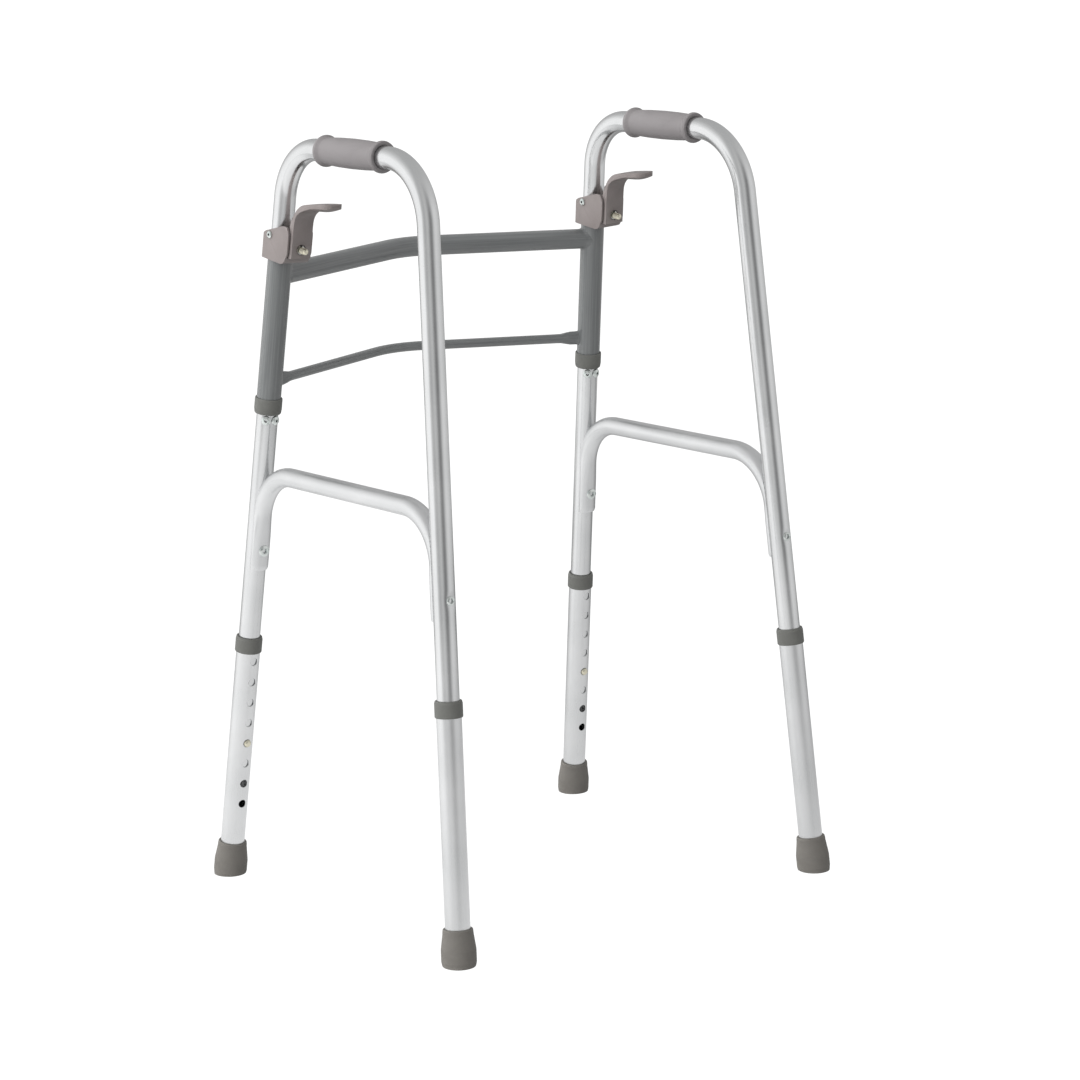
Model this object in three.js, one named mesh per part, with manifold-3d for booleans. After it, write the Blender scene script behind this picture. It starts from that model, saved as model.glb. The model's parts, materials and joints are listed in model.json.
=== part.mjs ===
// Folding walking frame: two aluminium side frames joined at the front by a grey crossbar
// assembly, with palm-lever latches, telescopic legs and rubber tips.
// Millimetres. +Z up, +Y forward (direction of travel), +X to the user's right.
// Origin: middle of the footprint, on the floor.
import * as THREE from 'three';
import { mergeVertices } from 'three/addons/utils/BufferGeometryUtils.js';
import { ConvexGeometry } from 'three/addons/geometries/ConvexGeometry.js';
import Module from 'manifold-3d';

const wasm = await Module();
wasm.setup();

// ---------------------------------------------------------------- driving dimensions
// Names ending in _V are heights in the leaning side plane, with _U forward in it.
// Names ending in _Z on the legs are distances along the leg axis from the foot.
const DEG = Math.PI / 180;
const FOOT_HALF_WIDTH = 262.5; // leg axes from the middle, at the floor
const FOOT_DEPTH = 456.3; // front foot to rear foot
const FRONT_FOOT_Y = FOOT_DEPTH / 2;
const SIDE_LEAN = 2.66 * DEG; // each side frame leans inward towards the top
const LEG_LEAN = { front: 7.92 * DEG, rear: 5.01 * DEG }; // legs lean to each other going up

const SLIDE_GAP = 0.35; // radial room round the side-frame tube
const CAP_GAP = 0.4; // radial room round the extensions and sleeves
const PIN_GAP = 0.3; // radial room round lock pins and buttons
const TUBE_R = 12.5;
const TUBE_WALL = 1.4;
const EXT_R = 14; // leg extensions and crossbar sleeves
const EXT_BORE_R = TUBE_R + SLIDE_GAP;
const CAP_BORE_R = EXT_R + CAP_GAP; // recess of collars and tips
const TUBE_SIDES = 20;
const RIVET_HOLE_R = 2.7;

const HANDLE_V = 870.6;
const HANDLE_BEND_R = { front: 64, rear: 75 };

const HOLE_PITCH = 25.4; // height-setting holes
const HOLE_COUNT = 8;
const HOLE_R = 4.75;
const FIRST_HOLE_DROP = 28.2; // first hole below the top of the collar
const BUTTON_HOLE = 4; // index, from the top, of the hole that the button sits in
const BUTTON_R = 4.3;
const INNER_END_BELOW_BUTTON = 38; // lower end of the side-frame tube
const RING_TOP = { front: 298.6, rear: 293 }; // top of the extension's collar
const COLLAR_HEIGHT = 18.6;

const BRACE_RIVET_Z = { front: 407.2, rear: 402.6 };
const STOP_RIVET_Z = 562.8;
const STOP_RIVET_HOLE_R = 2.5;
// Degrees from straight back, positive towards +X, the same on both side frames
const STOP_RIVET_ANGLES = { outer: -39.5, back: 14.5 };

const PIN_Z = 769; // lock pin
const PIN_R = 3.7;
const TUBE_PIN_HOLE_R = 4.3;
const LATCH_RIVET_Z = 779;

// ---------------------------------------------------------------- materials
const ALUMINIUM = { color: 0xc9cbcc, roughness: 0.3, metalness: 1.0 };
const GREY_PAINT = { color: 0x6c7072, roughness: 0.42, metalness: 0.15 };
const GREY_PLASTIC = { color: 0x777976, roughness: 0.5, metalness: 0.0 };
const LATCH_PLASTIC = { color: 0x8d8482, roughness: 0.45, metalness: 0.0 };
const GRIP_VINYL = { color: 0x8c8584, roughness: 0.6, metalness: 0.0 };
const TIP_RUBBER = { color: 0x75716b, roughness: 0.75, metalness: 0.0 };
const ZINC = { color: 0xc9d1cd, roughness: 0.3, metalness: 1.0 };
const BRASSY = { color: 0xcfc7a4, roughness: 0.3, metalness: 1.0 };
const SPRING_STEEL = { color: 0x9a9a98, roughness: 0.35, metalness: 1.0 };

// ---------------------------------------------------------------- solids
const vector = (x, y, z) => new THREE.Vector3(x, y, z);

function signedVolume(points, triangles) {
  const corner = (k) => new THREE.Vector3().fromBufferAttribute(points, triangles[k]);
  let volume = 0;
  for (let k = 0; k < triangles.length; k += 3) {
    volume += corner(k).dot(corner(k + 1).cross(corner(k + 2))) / 6;
  }
  return volume;
}

// Welds a geometry, drops its collapsed triangles and makes it face outward
function solid(geometry) {
  geometry.deleteAttribute('uv');
  geometry.deleteAttribute('normal');
  const welded = mergeVertices(geometry, 1e-3);
  const index = welded.index.array;
  const points = welded.attributes.position;
  const kept = [];
  for (let k = 0; k < index.length; k += 3) {
    const [a, b, c] = [index[k], index[k + 1], index[k + 2]];
    if (a !== b && b !== c && a !== c) kept.push(a, b, c);
  }
  if (signedVolume(points, kept) < 0) {
    for (let k = 0; k < kept.length; k += 3) {
      [kept[k + 1], kept[k + 2]] = [kept[k + 2], kept[k + 1]];
    }
  }
  return new wasm.Manifold(new wasm.Mesh({
    numProp: 3,
    vertProperties: new Float32Array(points.array),
    triVerts: new Uint32Array(kept),
  }));
}

const cut = (body, ...tools) => tools.reduce((rest, tool) => rest.subtract(tool), body);
const join = (body, ...others) => others.reduce((sum, other) => sum.add(other), body);

function mesh(name, body, look) {
  const data = body.getMesh();
  const geometry = new THREE.BufferGeometry();
  const positions = new Float32Array(data.vertProperties);
  geometry.setAttribute('position', new THREE.BufferAttribute(positions, 3));
  geometry.setIndex(Array.from(data.triVerts));
  geometry.computeVertexNormals();
  const result = new THREE.Mesh(geometry, new THREE.MeshStandardMaterial(look));
  result.name = name;
  return result;
}

// A ring of points, the first on +X
function ringPoints(radius, sides) {
  return Array.from({ length: sides }, (_, i) => {
    const angle = (2 * Math.PI * i) / sides;
    return new THREE.Vector2(radius * Math.cos(angle), radius * Math.sin(angle));
  });
}

// A path given by stations, each a point and a direction
class StationPath extends THREE.Curve {
  constructor(stations) {
    super();
    this.stations = stations;
  }

  station(t) {
    return this.stations[Math.round(t * (this.stations.length - 1))];
  }

  getPointAt(t, target = new THREE.Vector3()) {
    return target.copy(this.station(t).point);
  }

  getTangentAt(t, target = new THREE.Vector3()) {
    return target.copy(this.station(t).direction);
  }
}

// A round bar along the stations, hollow where a bore is given
function sweep(stations, { radius, sides, bore = 0, boreSides }) {
  const shape = new THREE.Shape(ringPoints(radius, sides));
  if (bore) shape.holes.push(new THREE.Path(ringPoints(bore, boreSides)));
  const extrudePath = new StationPath(stations);
  return solid(new THREE.ExtrudeGeometry(shape, { steps: stations.length - 1, extrudePath }));
}

// Stations of straight runs with rounded corners; each bend is [radius, steps]
function rounded(points, bends) {
  const heading = (from, to) => to.clone().sub(from).normalize();
  const last = points.length - 1;
  const stations = [{ point: points[0].clone(), direction: heading(points[0], points[1]) }];
  bends.forEach(([radius, steps], i) => {
    const corner = points[i + 1];
    const before = heading(points[i], corner);
    const after = heading(corner, points[i + 2]);
    const turn = Math.acos(THREE.MathUtils.clamp(before.dot(after), -1, 1));
    const start = corner.clone().addScaledVector(before, -radius * Math.tan(turn / 2));
    const inward = after.clone().addScaledVector(before, -before.dot(after)).normalize();
    const centre = start.clone().addScaledVector(inward, radius);
    for (let k = 0; k <= steps; k++) {
      const angle = (turn * k) / steps;
      const [cos, sin] = [Math.cos(angle), Math.sin(angle)];
      stations.push({
        point: centre.clone().addScaledVector(inward, -radius * cos)
          .addScaledVector(before, radius * sin),
        direction: before.clone().multiplyScalar(cos).addScaledVector(inward, sin),
      });
    }
  });
  stations.push({ point: points[last].clone(), direction: heading(points[last - 1], points[last]) });
  return stations;
}

// A turned piece along +Z: [radius, z] pairs of its outline, closed here if off the axis
function turned(profile, sides = TUBE_SIDES) {
  const points = profile.map(([radius, z]) => new THREE.Vector2(radius, z));
  if (points[0].x > 0 || points[points.length - 1].x > 0) points.push(points[0].clone());
  const geometry = new THREE.LatheGeometry(points, sides);
  geometry.rotateX(Math.PI / 2); // the lathe turns about Y
  geometry.rotateZ(Math.PI / 2); // first corner on +X
  return solid(geometry);
}

function rod(radius, from, to, sides) {
  return turned([[0, from], [radius, from], [radius, to], [0, to]], sides);
}

function block(x0, x1, y0, y1, z0, z1) {
  const geometry = new THREE.BoxGeometry(x1 - x0, y1 - y0, z1 - z0);
  geometry.translate((x0 + x1) / 2, (y0 + y1) / 2, (z0 + z1) / 2);
  return solid(geometry);
}

function extruded(outline, depth) {
  const shape = new THREE.Shape(outline.map(([x, y]) => new THREE.Vector2(x, y)));
  return new THREE.ExtrudeGeometry(shape, { depth, bevelEnabled: false, steps: 1 });
}

// An outline in the (y, z) plane, given width along x
function slab(outline, x0, x1) {
  const geometry = extruded(outline, x1 - x0);
  geometry.applyMatrix4(
    new THREE.Matrix4().makeBasis(vector(0, 1, 0), vector(0, 0, 1), vector(1, 0, 0)),
  );
  geometry.translate(x0, 0, 0);
  return solid(geometry);
}

// An outline in the (x, y) plane, given height along z
function plate(outline, z0, z1) {
  const geometry = extruded(outline, z1 - z0);
  geometry.translate(0, 0, z0);
  return solid(geometry);
}

// Points of an arc, angles in degrees
function arc(centreX, centreY, radius, from, to, steps) {
  return Array.from({ length: steps + 1 }, (_, i) => {
    const angle = (from + ((to - from) * i) / steps) * DEG;
    return [centreX + radius * Math.cos(angle), centreY + radius * Math.sin(angle)];
  });
}

const placed = (body, matrix) => body.transform(matrix.elements);
const shift = (x, y, z) => new THREE.Matrix4().makeTranslation(x, y, z);
const alongX = new THREE.Matrix4().makeRotationY(Math.PI / 2); // +Z to +X
const alongBack = new THREE.Matrix4().makeRotationX(Math.PI / 2); // +Z to -Y
const alongFront = new THREE.Matrix4().makeRotationX(-Math.PI / 2); // +Z to +Y

// ---------------------------------------------------------------- frames of reference
// Side plane: x across, y forward, z up the leaning plane, origin at the front foot.
// sign is 1 on the right and -1 on the left.
const sideMatrix = (sign) => shift(sign * FOOT_HALF_WIDTH, FRONT_FOOT_Y, 0)
  .multiply(new THREE.Matrix4().makeRotationY(-sign * SIDE_LEAN));

// Leg: z along the leg axis from the foot, set in the side plane
const legMatrix = {
  front: new THREE.Matrix4().makeRotationX(LEG_LEAN.front),
  rear: shift(0, -FOOT_DEPTH, 0).multiply(new THREE.Matrix4().makeRotationX(-LEG_LEAN.rear)),
};
const legPoint = (leg, z, y = 0) => vector(0, y, z).applyMatrix4(legMatrix[leg]);

// Point of the leg axis at a height in the side plane
const axisAt = {
  front: (height) => vector(0, -Math.tan(LEG_LEAN.front) * height, height),
  rear: (height) => vector(0, -FOOT_DEPTH + Math.tan(LEG_LEAN.rear) * height, height),
};

// Direction from each leg to the middle of its side frame
const toMiddle = { front: alongBack, rear: alongFront };
const middleSign = { front: -1, rear: 1 };

const holeZ = (leg, i) => RING_TOP[leg] - FIRST_HOLE_DROP - HOLE_PITCH * i;
const buttonZ = (leg) => holeZ(leg, BUTTON_HOLE);

// Leg-frame matrix of a piece turned across the leg at a given z
const across = (z, direction) => shift(0, 0, z).multiply(direction);
// Drill across the leg, running between two distances from its axis
const drill = (radius, from, to, z, direction, sides = 10) =>
  placed(rod(radius, from, to, sides), across(z, direction));
const fromLeg = (leg, ...bodies) => bodies.map((body) => placed(body, legMatrix[leg]));

// ---------------------------------------------------------------- side frame tube
const stopRivetMatrix = (angle) => legMatrix.front.clone()
  .multiply(shift(0, 0, STOP_RIVET_Z))
  .multiply(new THREE.Matrix4().makeRotationZ(angle * DEG))
  .multiply(alongBack);

function makeFrameTube() {
  const stations = rounded([
    legPoint('front', buttonZ('front') - INNER_END_BELOW_BUTTON),
    axisAt.front(HANDLE_V),
    axisAt.rear(HANDLE_V),
    legPoint('rear', buttonZ('rear') - INNER_END_BELOW_BUTTON),
  ], [[HANDLE_BEND_R.front, 6], [HANDLE_BEND_R.rear, 7]]);
  const tube = sweep(stations, {
    radius: TUBE_R, sides: TUBE_SIDES, bore: TUBE_R - TUBE_WALL, boreSides: 12,
  });
  const reach = 20; // past the tube wall
  const legHoles = (leg) => [
    drill(RIVET_HOLE_R, -reach, reach, BRACE_RIVET_Z[leg], alongBack),
    drill(BUTTON_R + PIN_GAP, 0, reach, buttonZ(leg), toMiddle[leg]),
  ];
  return cut(
    tube,
    ...fromLeg(
      'front',
      drill(TUBE_PIN_HOLE_R, 0, reach, PIN_Z, alongBack),
      drill(RIVET_HOLE_R, -reach, reach, LATCH_RIVET_Z, alongX),
      ...legHoles('front'),
    ),
    ...fromLeg('rear', ...legHoles('rear')),
    ...Object.values(STOP_RIVET_ANGLES).map((angle) =>
      placed(rod(STOP_RIVET_HOLE_R, 0, reach, 10), stopRivetMatrix(angle))),
  );
}

// ---------------------------------------------------------------- grip
const GRIP_FRONT_U = -191;
const GRIP_REAR_U = -303.5;
const GRIP_BORE_R = 13.05;
const GRIP_FLANGE_R = 17.8;
const GRIP_BODY_R = 16.4;

function makeGrip() {
  const half = (GRIP_FRONT_U - GRIP_REAR_U) / 2;
  const flangeEdgeR = GRIP_FLANGE_R - 1.4;
  const waistR = GRIP_BODY_R - 0.6;
  // [radius, distance from the grip's middle]
  const profile = [
    [GRIP_BORE_R, -half], [flangeEdgeR, -half],
    [GRIP_FLANGE_R, -half + 1.8], [GRIP_FLANGE_R, -half + 4.6],
    [waistR, -half + 7.5], [GRIP_BODY_R, 0], [waistR, half - 7.5],
    [GRIP_FLANGE_R, half - 4.6], [GRIP_FLANGE_R, half - 1.8],
    [flangeEdgeR, half], [GRIP_BORE_R, half],
  ];
  const middle = shift(0, (GRIP_FRONT_U + GRIP_REAR_U) / 2, HANDLE_V);
  return placed(turned(profile), middle.multiply(alongBack));
}

// ---------------------------------------------------------------- brace
// Hollow tube whose ends are pressed to a crescent round the leg
const BRACE_R = 11;
const BRACE_WALL = 1.4;
const BRACE_V = 494.3; // straight top
const BRACE_BEND_R = { front: 61, rear: 64 };
const BRACE_END_Z = { front: 383, rear: 379 };
const BRACE_OFF = 6; // tube centreline off the leg axis where its bend starts
const PRESSED_LENGTH = 44;
const PRESSED_R = 16; // outside of the crescent
const PRESSED_HALF_ANGLE = 62;
const PRESSED_TAPER = { front: 18, rear: 16 }; // from the crescent to the round tube
const TAPER_OVERLAP = 2; // the round tube runs this far into the taper

function pressedEnd(leg) {
  const sign = middleSign[leg];
  const bottom = BRACE_END_Z[leg];
  const top = bottom + PRESSED_LENGTH;
  const crescent = (z, radius) =>
    arc(0, 0, radius, -PRESSED_HALF_ANGLE, PRESSED_HALF_ANGLE, 8)
      .map(([out, x]) => vector(x, sign * out, z));
  const round = ringPoints(BRACE_R * 0.96, 14)
    .map(({ x, y }) => vector(x, sign * BRACE_OFF + y, top + PRESSED_TAPER[leg]));
  const crescentPart = [
    ...crescent(bottom, PRESSED_R - 1.2), ...crescent(bottom + 2.5, PRESSED_R),
    ...crescent(top, PRESSED_R),
  ];
  const taperPart = [...crescent(top - 0.01, PRESSED_R), ...round];
  return placed(
    join(solid(new ConvexGeometry(crescentPart)), solid(new ConvexGeometry(taperPart))),
    legMatrix[leg],
  );
}

function makeBrace() {
  const end = (leg) => legPoint(
    leg,
    BRACE_END_Z[leg] + PRESSED_LENGTH + PRESSED_TAPER[leg] - TAPER_OVERLAP,
    middleSign[leg] * BRACE_OFF,
  );
  const corner = (leg) => legPoint(
    leg,
    (BRACE_V + BRACE_OFF * Math.sin(LEG_LEAN[leg])) / Math.cos(LEG_LEAN[leg]),
    middleSign[leg] * BRACE_OFF,
  );
  const stations = rounded(
    [end('front'), corner('front'), corner('rear'), end('rear')],
    [[BRACE_BEND_R.front, 6], [BRACE_BEND_R.rear, 6]],
  );
  const legCuts = (leg) => fromLeg(
    leg,
    rod(TUBE_R + SLIDE_GAP, 300, 560, TUBE_SIDES),
    drill(RIVET_HOLE_R, 8, 30, BRACE_RIVET_Z[leg], toMiddle[leg]),
  );
  return cut(
    join(
      sweep(stations, { radius: BRACE_R, sides: 16 }),
      pressedEnd('front'), pressedEnd('rear'),
    ),
    sweep(stations, { radius: BRACE_R - BRACE_WALL, sides: 10 }),
    ...legCuts('front'), ...legCuts('rear'),
  );
}

// Through rivet: a broad head behind, a smaller closed head in front.
// back and front are the distances of the clamped faces from the leg axis.
function makeBraceRivet(leg, { back, backHeadR, front, frontHeadR }) {
  const [backSeat, frontSeat] = [back + 0.25, -front - 0.25];
  const shankR = 2.35;
  const profile = [ // [radius, distance behind the leg axis]
    [0, -front - 1.4], [frontHeadR * 0.7, -front - 1.4], [frontHeadR, frontSeat],
    [shankR, frontSeat], [shankR, backSeat], [backHeadR, backSeat], [backHeadR, back + 0.9],
    [backHeadR * 0.62, back + 2.1], [1.9, back + 1.0], [0, back + 1.0],
  ];
  const matrix = legMatrix[leg].clone().multiply(across(BRACE_RIVET_Z[leg], alongBack));
  return placed(turned(profile, 12), matrix);
}

const BRACE_RIVET = {
  front: { back: PRESSED_R, backHeadR: 6.8, front: TUBE_R, frontHeadR: 4.4 },
  rear: { back: TUBE_R, backHeadR: 5.4, front: PRESSED_R, frontHeadR: 4.4 },
};

// ---------------------------------------------------------------- latch housing (leg frame)
const LATCH_HALF_W = 16.8;
const CHEEK_IN = 14.6; // inside of the cheeks
const HOUSING_CORNER_R = 6; // front corners, seen from above

// Side view, [y, z]
const CHEEK_OUTLINE = [
  [16.8, 751], [16.8, 776.5], [14.6, 779.3], [8, 782.4], [-24.5, 794], [-29.5, 794],
  [-33.4, 791.6], [-35.8, 788], [-36.4, 784], [-36.4, 765], [-35.4, 760.5],
  [-32.6, 755.6], [-29, 752.2], [-24, 750.6], [10, 750.6],
];
// Wide bore round the sleeve, narrow bore round the tube above it, [radius, z]
const HOUSING_BORE = [
  [0, 745], [CAP_BORE_R + 0.1, 745], [CAP_BORE_R + 0.1, 776.0],
  [TUBE_R + SLIDE_GAP, 776.4], [TUBE_R + SLIDE_GAP, 812], [0, 812],
];
// Hollows between the cheeks, open at the top, [rear y, front y, bottom z]
const HOUSING_HOLLOWS = [
  [-27, -16.8, 762], // spring chamber
  [-60, -29.6, 758.7], // room for the lever
  [-30, -12, 783], // across the top
];

function makeHousing() {
  const cornerX = LATCH_HALF_W - HOUSING_CORNER_R;
  const cornerY = LATCH_HALF_W - HOUSING_CORNER_R;
  const plan = [
    [-LATCH_HALF_W, -60], [LATCH_HALF_W, -60],
    ...arc(cornerX, cornerY, HOUSING_CORNER_R, 0, 90, 3),
    ...arc(-cornerX, cornerY, HOUSING_CORNER_R, 90, 180, 3),
  ];
  return cut(
    slab(CHEEK_OUTLINE, -LATCH_HALF_W, LATCH_HALF_W).intersect(plate(plan, 740, 810)),
    turned(HOUSING_BORE),
    ...HOUSING_HOLLOWS.map(([rear, front, bottom]) =>
      block(-CHEEK_IN, CHEEK_IN, rear, front, bottom, 812)),
    drill(PIN_R + PIN_GAP, 0, 45, PIN_Z, alongBack, 16),
    drill(RIVET_HOLE_R, -30, 30, LATCH_RIVET_Z, alongX),
  );
}

// Hollow rivet through the housing, [radius, x]
const LATCH_RIVET_PROFILE = [
  [1.4, -19.1], [2.6, -19.1], [4.3, -18.3], [4.3, -17.1], [2.4, -17.1],
  [2.4, 17.1], [4.3, 17.1], [4.3, 18.3], [2.6, 19.1], [1.4, 19.1],
];
const makeLatchRivet = () =>
  placed(turned(LATCH_RIVET_PROFILE, 10), across(LATCH_RIVET_Z, alongX));

// ---------------------------------------------------------------- lever (leg frame)
const LEVER_HALF_W = 13.2;
const LEVER_BACK = -40.3; // rear face of the upright part
const LEVER_TIP = -100.6; // rearmost point of the palm part
const LEVER_TIP_CORNER_R = 12; // seen from above
const LEVER_FLANGE = 2; // thickness of the side flanges
const LEVER_HOLE_Z = PIN_Z + 0.3;

// Side views, [y, z]
const LEVER_OUTLINE = [
  [LEVER_BACK, 759.2], [LEVER_BACK, 797],
  [-41, 803], [-43.2, 808.4], [-47, 813], [-52, 816], [-58, 817.8], [-66, 819.4],
  [-76, 821], [-86, 822.8], [-95, 825.6], [-99.5, 828.4], [LEVER_TIP, 831],
  [-98.8, 833.2], [-94, 833], [-84, 831.2], [-74, 829.4], [-64, 827.4], [-56, 825],
  [-49, 821.4], [-43, 816], [-38.6, 809.4], [-36.1, 802.4], [-35.3, 795], [-35.3, 759.2],
];
const FLANGE_OUTLINE = [
  [-36, 759.2], [-31.6, 759.8], [-30.6, 762], [-30.6, 782], [-31.8, 792], [-36, 806],
];

function makeLever() {
  const cornerX = LEVER_HALF_W - LEVER_TIP_CORNER_R;
  const cornerY = LEVER_TIP + LEVER_TIP_CORNER_R;
  const plan = [
    ...arc(cornerX, cornerY, LEVER_TIP_CORNER_R, -90, 0, 6),
    [LEVER_HALF_W, -20], [-LEVER_HALF_W, -20],
    ...arc(-cornerX, cornerY, LEVER_TIP_CORNER_R, 180, 270, 6),
  ];
  // Pin hole, slightly taller than wide, and a round sink behind it
  const pinHole = plate([...arc(0, 1, 4.5, 0, 180, 6), ...arc(0, -1, 4.5, 180, 360, 6)], 0, 12);
  const sink = rod(6.2, 0, 20, 16);
  return cut(
    join(
      slab(LEVER_OUTLINE, -LEVER_HALF_W, LEVER_HALF_W),
      slab(FLANGE_OUTLINE, -LEVER_HALF_W, -LEVER_HALF_W + LEVER_FLANGE),
      slab(FLANGE_OUTLINE, LEVER_HALF_W - LEVER_FLANGE, LEVER_HALF_W),
    ).intersect(plate(plan, 740, 850)),
    placed(pinHole, shift(0, -33, LEVER_HOLE_Z).multiply(alongBack)),
    placed(sink, shift(0, -38.2, LEVER_HOLE_Z).multiply(alongBack)),
  );
}

// ---------------------------------------------------------------- lock pin, clip and spring
// Modelled along z as distance behind the leg axis, then laid across the leg
const onPinAxis = (body) => placed(body, across(PIN_Z, alongBack));

// Collar at 17.1, clip groove at 38.3, ribbed rear end, [radius, distance]
const LOCK_PIN_PROFILE = [
  [0, 11.2], [2.7, 11.2], [PIN_R, 12.2], [PIN_R, 17.1], [5.9, 17.1], [5.9, 18.3],
  [PIN_R, 18.3], [PIN_R, 38.3], [2.9, 38.3], [2.9, 39.7], [PIN_R, 39.7],
  [PIN_R, 42], [3.1, 42.8], [PIN_R, 43.6], [3.1, 44.4], [PIN_R, 45.2],
  [PIN_R, 49], [2.2, 51.2], [0, 51.2],
];
const makeLockPin = () => onPinAxis(turned(LOCK_PIN_PROFILE, 12));

// Ring in the pin's groove with a gap at the top
function makeClip() {
  const ring = turned([[3.2, 38.55], [5.0, 38.55], [5.0, 39.45], [3.2, 39.45]], 12);
  return onPinAxis(cut(ring, block(-1.6, 1.6, 0, 8, 30, 50)));
}

const LOCK_SPRING = {
  turns: 3.5, stepsPerTurn: 8, radius: 4.95, wireR: 0.5, start: 19.1, end: 26.2,
};

function makeLockSpring() {
  const { turns, stepsPerTurn, radius, wireR, start, end } = LOCK_SPRING;
  const steps = turns * stepsPerTurn;
  const rise = (end - start) / steps;
  const climb = (rise * stepsPerTurn) / (2 * Math.PI); // rise per radian
  const stations = [];
  for (let i = 0; i <= steps; i++) {
    const angle = (2 * Math.PI * i) / stepsPerTurn;
    const [x, y] = [radius * Math.cos(angle), radius * Math.sin(angle)];
    stations.push({
      point: vector(x, y, start + rise * i),
      direction: vector(-y, x, climb).normalize(),
    });
  }
  return onPinAxis(sweep(stations, { radius: wireR, sides: 4 }));
}

// ---------------------------------------------------------------- crossbar sleeve
const SLEEVE_BOTTOM = 573;
const SLEEVE_TOP = 775.3;
const SLEEVE_COLLAR_BOTTOM = 569;
const SLEEVE_COLLAR_R = 15.9;
const STOP_RIVET_R = 5.6;

const makeSleeve = () => cut(
  turned([
    [EXT_BORE_R, SLEEVE_BOTTOM], [EXT_R, SLEEVE_BOTTOM],
    [EXT_R, SLEEVE_TOP], [EXT_BORE_R, SLEEVE_TOP],
  ]),
  drill(PIN_R + PIN_GAP, 0, 20, PIN_Z, alongBack, 16),
);

function makeSleeveCollar() {
  const top = SLEEVE_COLLAR_BOTTOM + COLLAR_HEIGHT;
  const ledge = SLEEVE_BOTTOM - 0.35; // just under the sleeve
  return turned([
    [EXT_BORE_R, SLEEVE_COLLAR_BOTTOM], [15.2, SLEEVE_COLLAR_BOTTOM],
    [SLEEVE_COLLAR_R, SLEEVE_COLLAR_BOTTOM + 3.2], [SLEEVE_COLLAR_R, top],
    [CAP_BORE_R, top], [CAP_BORE_R, ledge], [EXT_BORE_R, ledge],
  ]);
}

// Hollow rivet that stops the sleeve, [radius, distance from the leg axis]
const STOP_RIVET_PROFILE = [
  [1.2, 8.8], [2.2, 8.8], [2.2, TUBE_R + 0.25], [STOP_RIVET_R, TUBE_R + 0.25],
  [STOP_RIVET_R, TUBE_R + 0.8], [4.6, TUBE_R + 2], [1.2, TUBE_R + 2.8],
];
const makeStopRivet = (angle) =>
  placed(turned(STOP_RIVET_PROFILE, 12), stopRivetMatrix(angle));

// ---------------------------------------------------------------- lower leg (leg frame)
const EXT_BOTTOM = 8.6;
const EXT_BELOW_RING_TOP = 2.6;
const RING_R = 15.7;
const TIP_R = 19.6;
const TIP_TOP_R = 16.3;
const TIP_HEIGHT = 41;
const TIP_FLOOR = 6.2; // bottom of the recess

function makeExtension(leg) {
  const top = RING_TOP[leg] - EXT_BELOW_RING_TOP;
  const tube = turned([
    [EXT_BORE_R, EXT_BOTTOM], [EXT_R, EXT_BOTTOM], [EXT_R, top], [EXT_BORE_R, top],
  ]);
  const holes = Array.from({ length: HOLE_COUNT }, (_, i) =>
    drill(HOLE_R, 4, 20, holeZ(leg, i), toMiddle[leg]));
  return cut(tube, ...holes);
}

function makeLegCollar(leg) {
  const top = RING_TOP[leg];
  const bottom = top - COLLAR_HEIGHT;
  const ledge = top - 2.2;
  return turned([
    [CAP_BORE_R, bottom], [RING_R, bottom], [RING_R, top - 1.8], [RING_R - 1, top],
    [EXT_BORE_R, top], [EXT_BORE_R, ledge], [CAP_BORE_R, ledge],
  ]);
}

// Runs on below the floor and is cut level with it, [radius, z]
const TIP_PROFILE = [
  [0, -5], [TIP_R - 0.6, -5], [TIP_R, 3.5], [TIP_R, 18], [TIP_R - 0.5, 22.5],
  [TIP_TOP_R + 0.6, TIP_HEIGHT - 4], [TIP_TOP_R - 0.8, TIP_HEIGHT],
  [CAP_BORE_R, TIP_HEIGHT], [CAP_BORE_R, TIP_FLOOR], [0, TIP_FLOOR],
];

function makeTip(leg, sign) {
  const floorToLeg = sideMatrix(sign).multiply(legMatrix[leg]).invert();
  const belowFloor = placed(
    block(-400, 400, -900, 400, -60, 0),
    floorToLeg.multiply(shift(sign * FOOT_HALF_WIDTH, 0, 0)),
  );
  return cut(turned(TIP_PROFILE, 22), belowFloor);
}

const makeTipWasher = () => turned([[3.2, 6.5], [13.4, 6.5], [13.4, 8.2], [3.2, 8.2]], 14);

// [radius, distance from the leg axis]
const BUTTON_PROFILE = [
  [0, 8.4], [4.9, 8.4], [4.9, 9.6], [BUTTON_R, 9.6], [BUTTON_R, 15.3], [3.4, 16.5], [0, 17.1],
];
const makeSnapButton = (leg) =>
  placed(turned(BUTTON_PROFILE, 12), across(buttonZ(leg), toMiddle[leg]));

// Folded strip, [towards the side frame's middle, above the button]
const BUTTON_SPRING_OUTLINE = [
  [8.1, -7], [8.1, 8], [1.6, 36], [-1.6, 36], [-9.9, 4],
  [-9.1, 3.8], [-1.0, 35.2], [1.0, 35.2], [7.3, 7.8], [7.3, -7],
];
const BUTTON_SPRING_HALF_W = 3.2;
const makeButtonSpring = (leg) => slab(
  BUTTON_SPRING_OUTLINE.map(([y, z]) => [middleSign[leg] * y, buttonZ(leg) + z]),
  -BUTTON_SPRING_HALF_W,
  BUTTON_SPRING_HALF_W,
);

// ---------------------------------------------------------------- crossbars (origin frame)
const BAR_BEND_R = 105;
// endV: height of the ends; middle: centreline point halfway across
const UPPER_BAR = {
  radius: 12, wall: 1.5, endV: 724.4, middle: vector(0, FRONT_FOOT_Y - 32.7, 728.4),
};
const LOWER_BAR = {
  radius: 5.7, wall: 1.2, endV: 600.5, middle: vector(0, FRONT_FOOT_Y - 5.9, 604.2),
};
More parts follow.
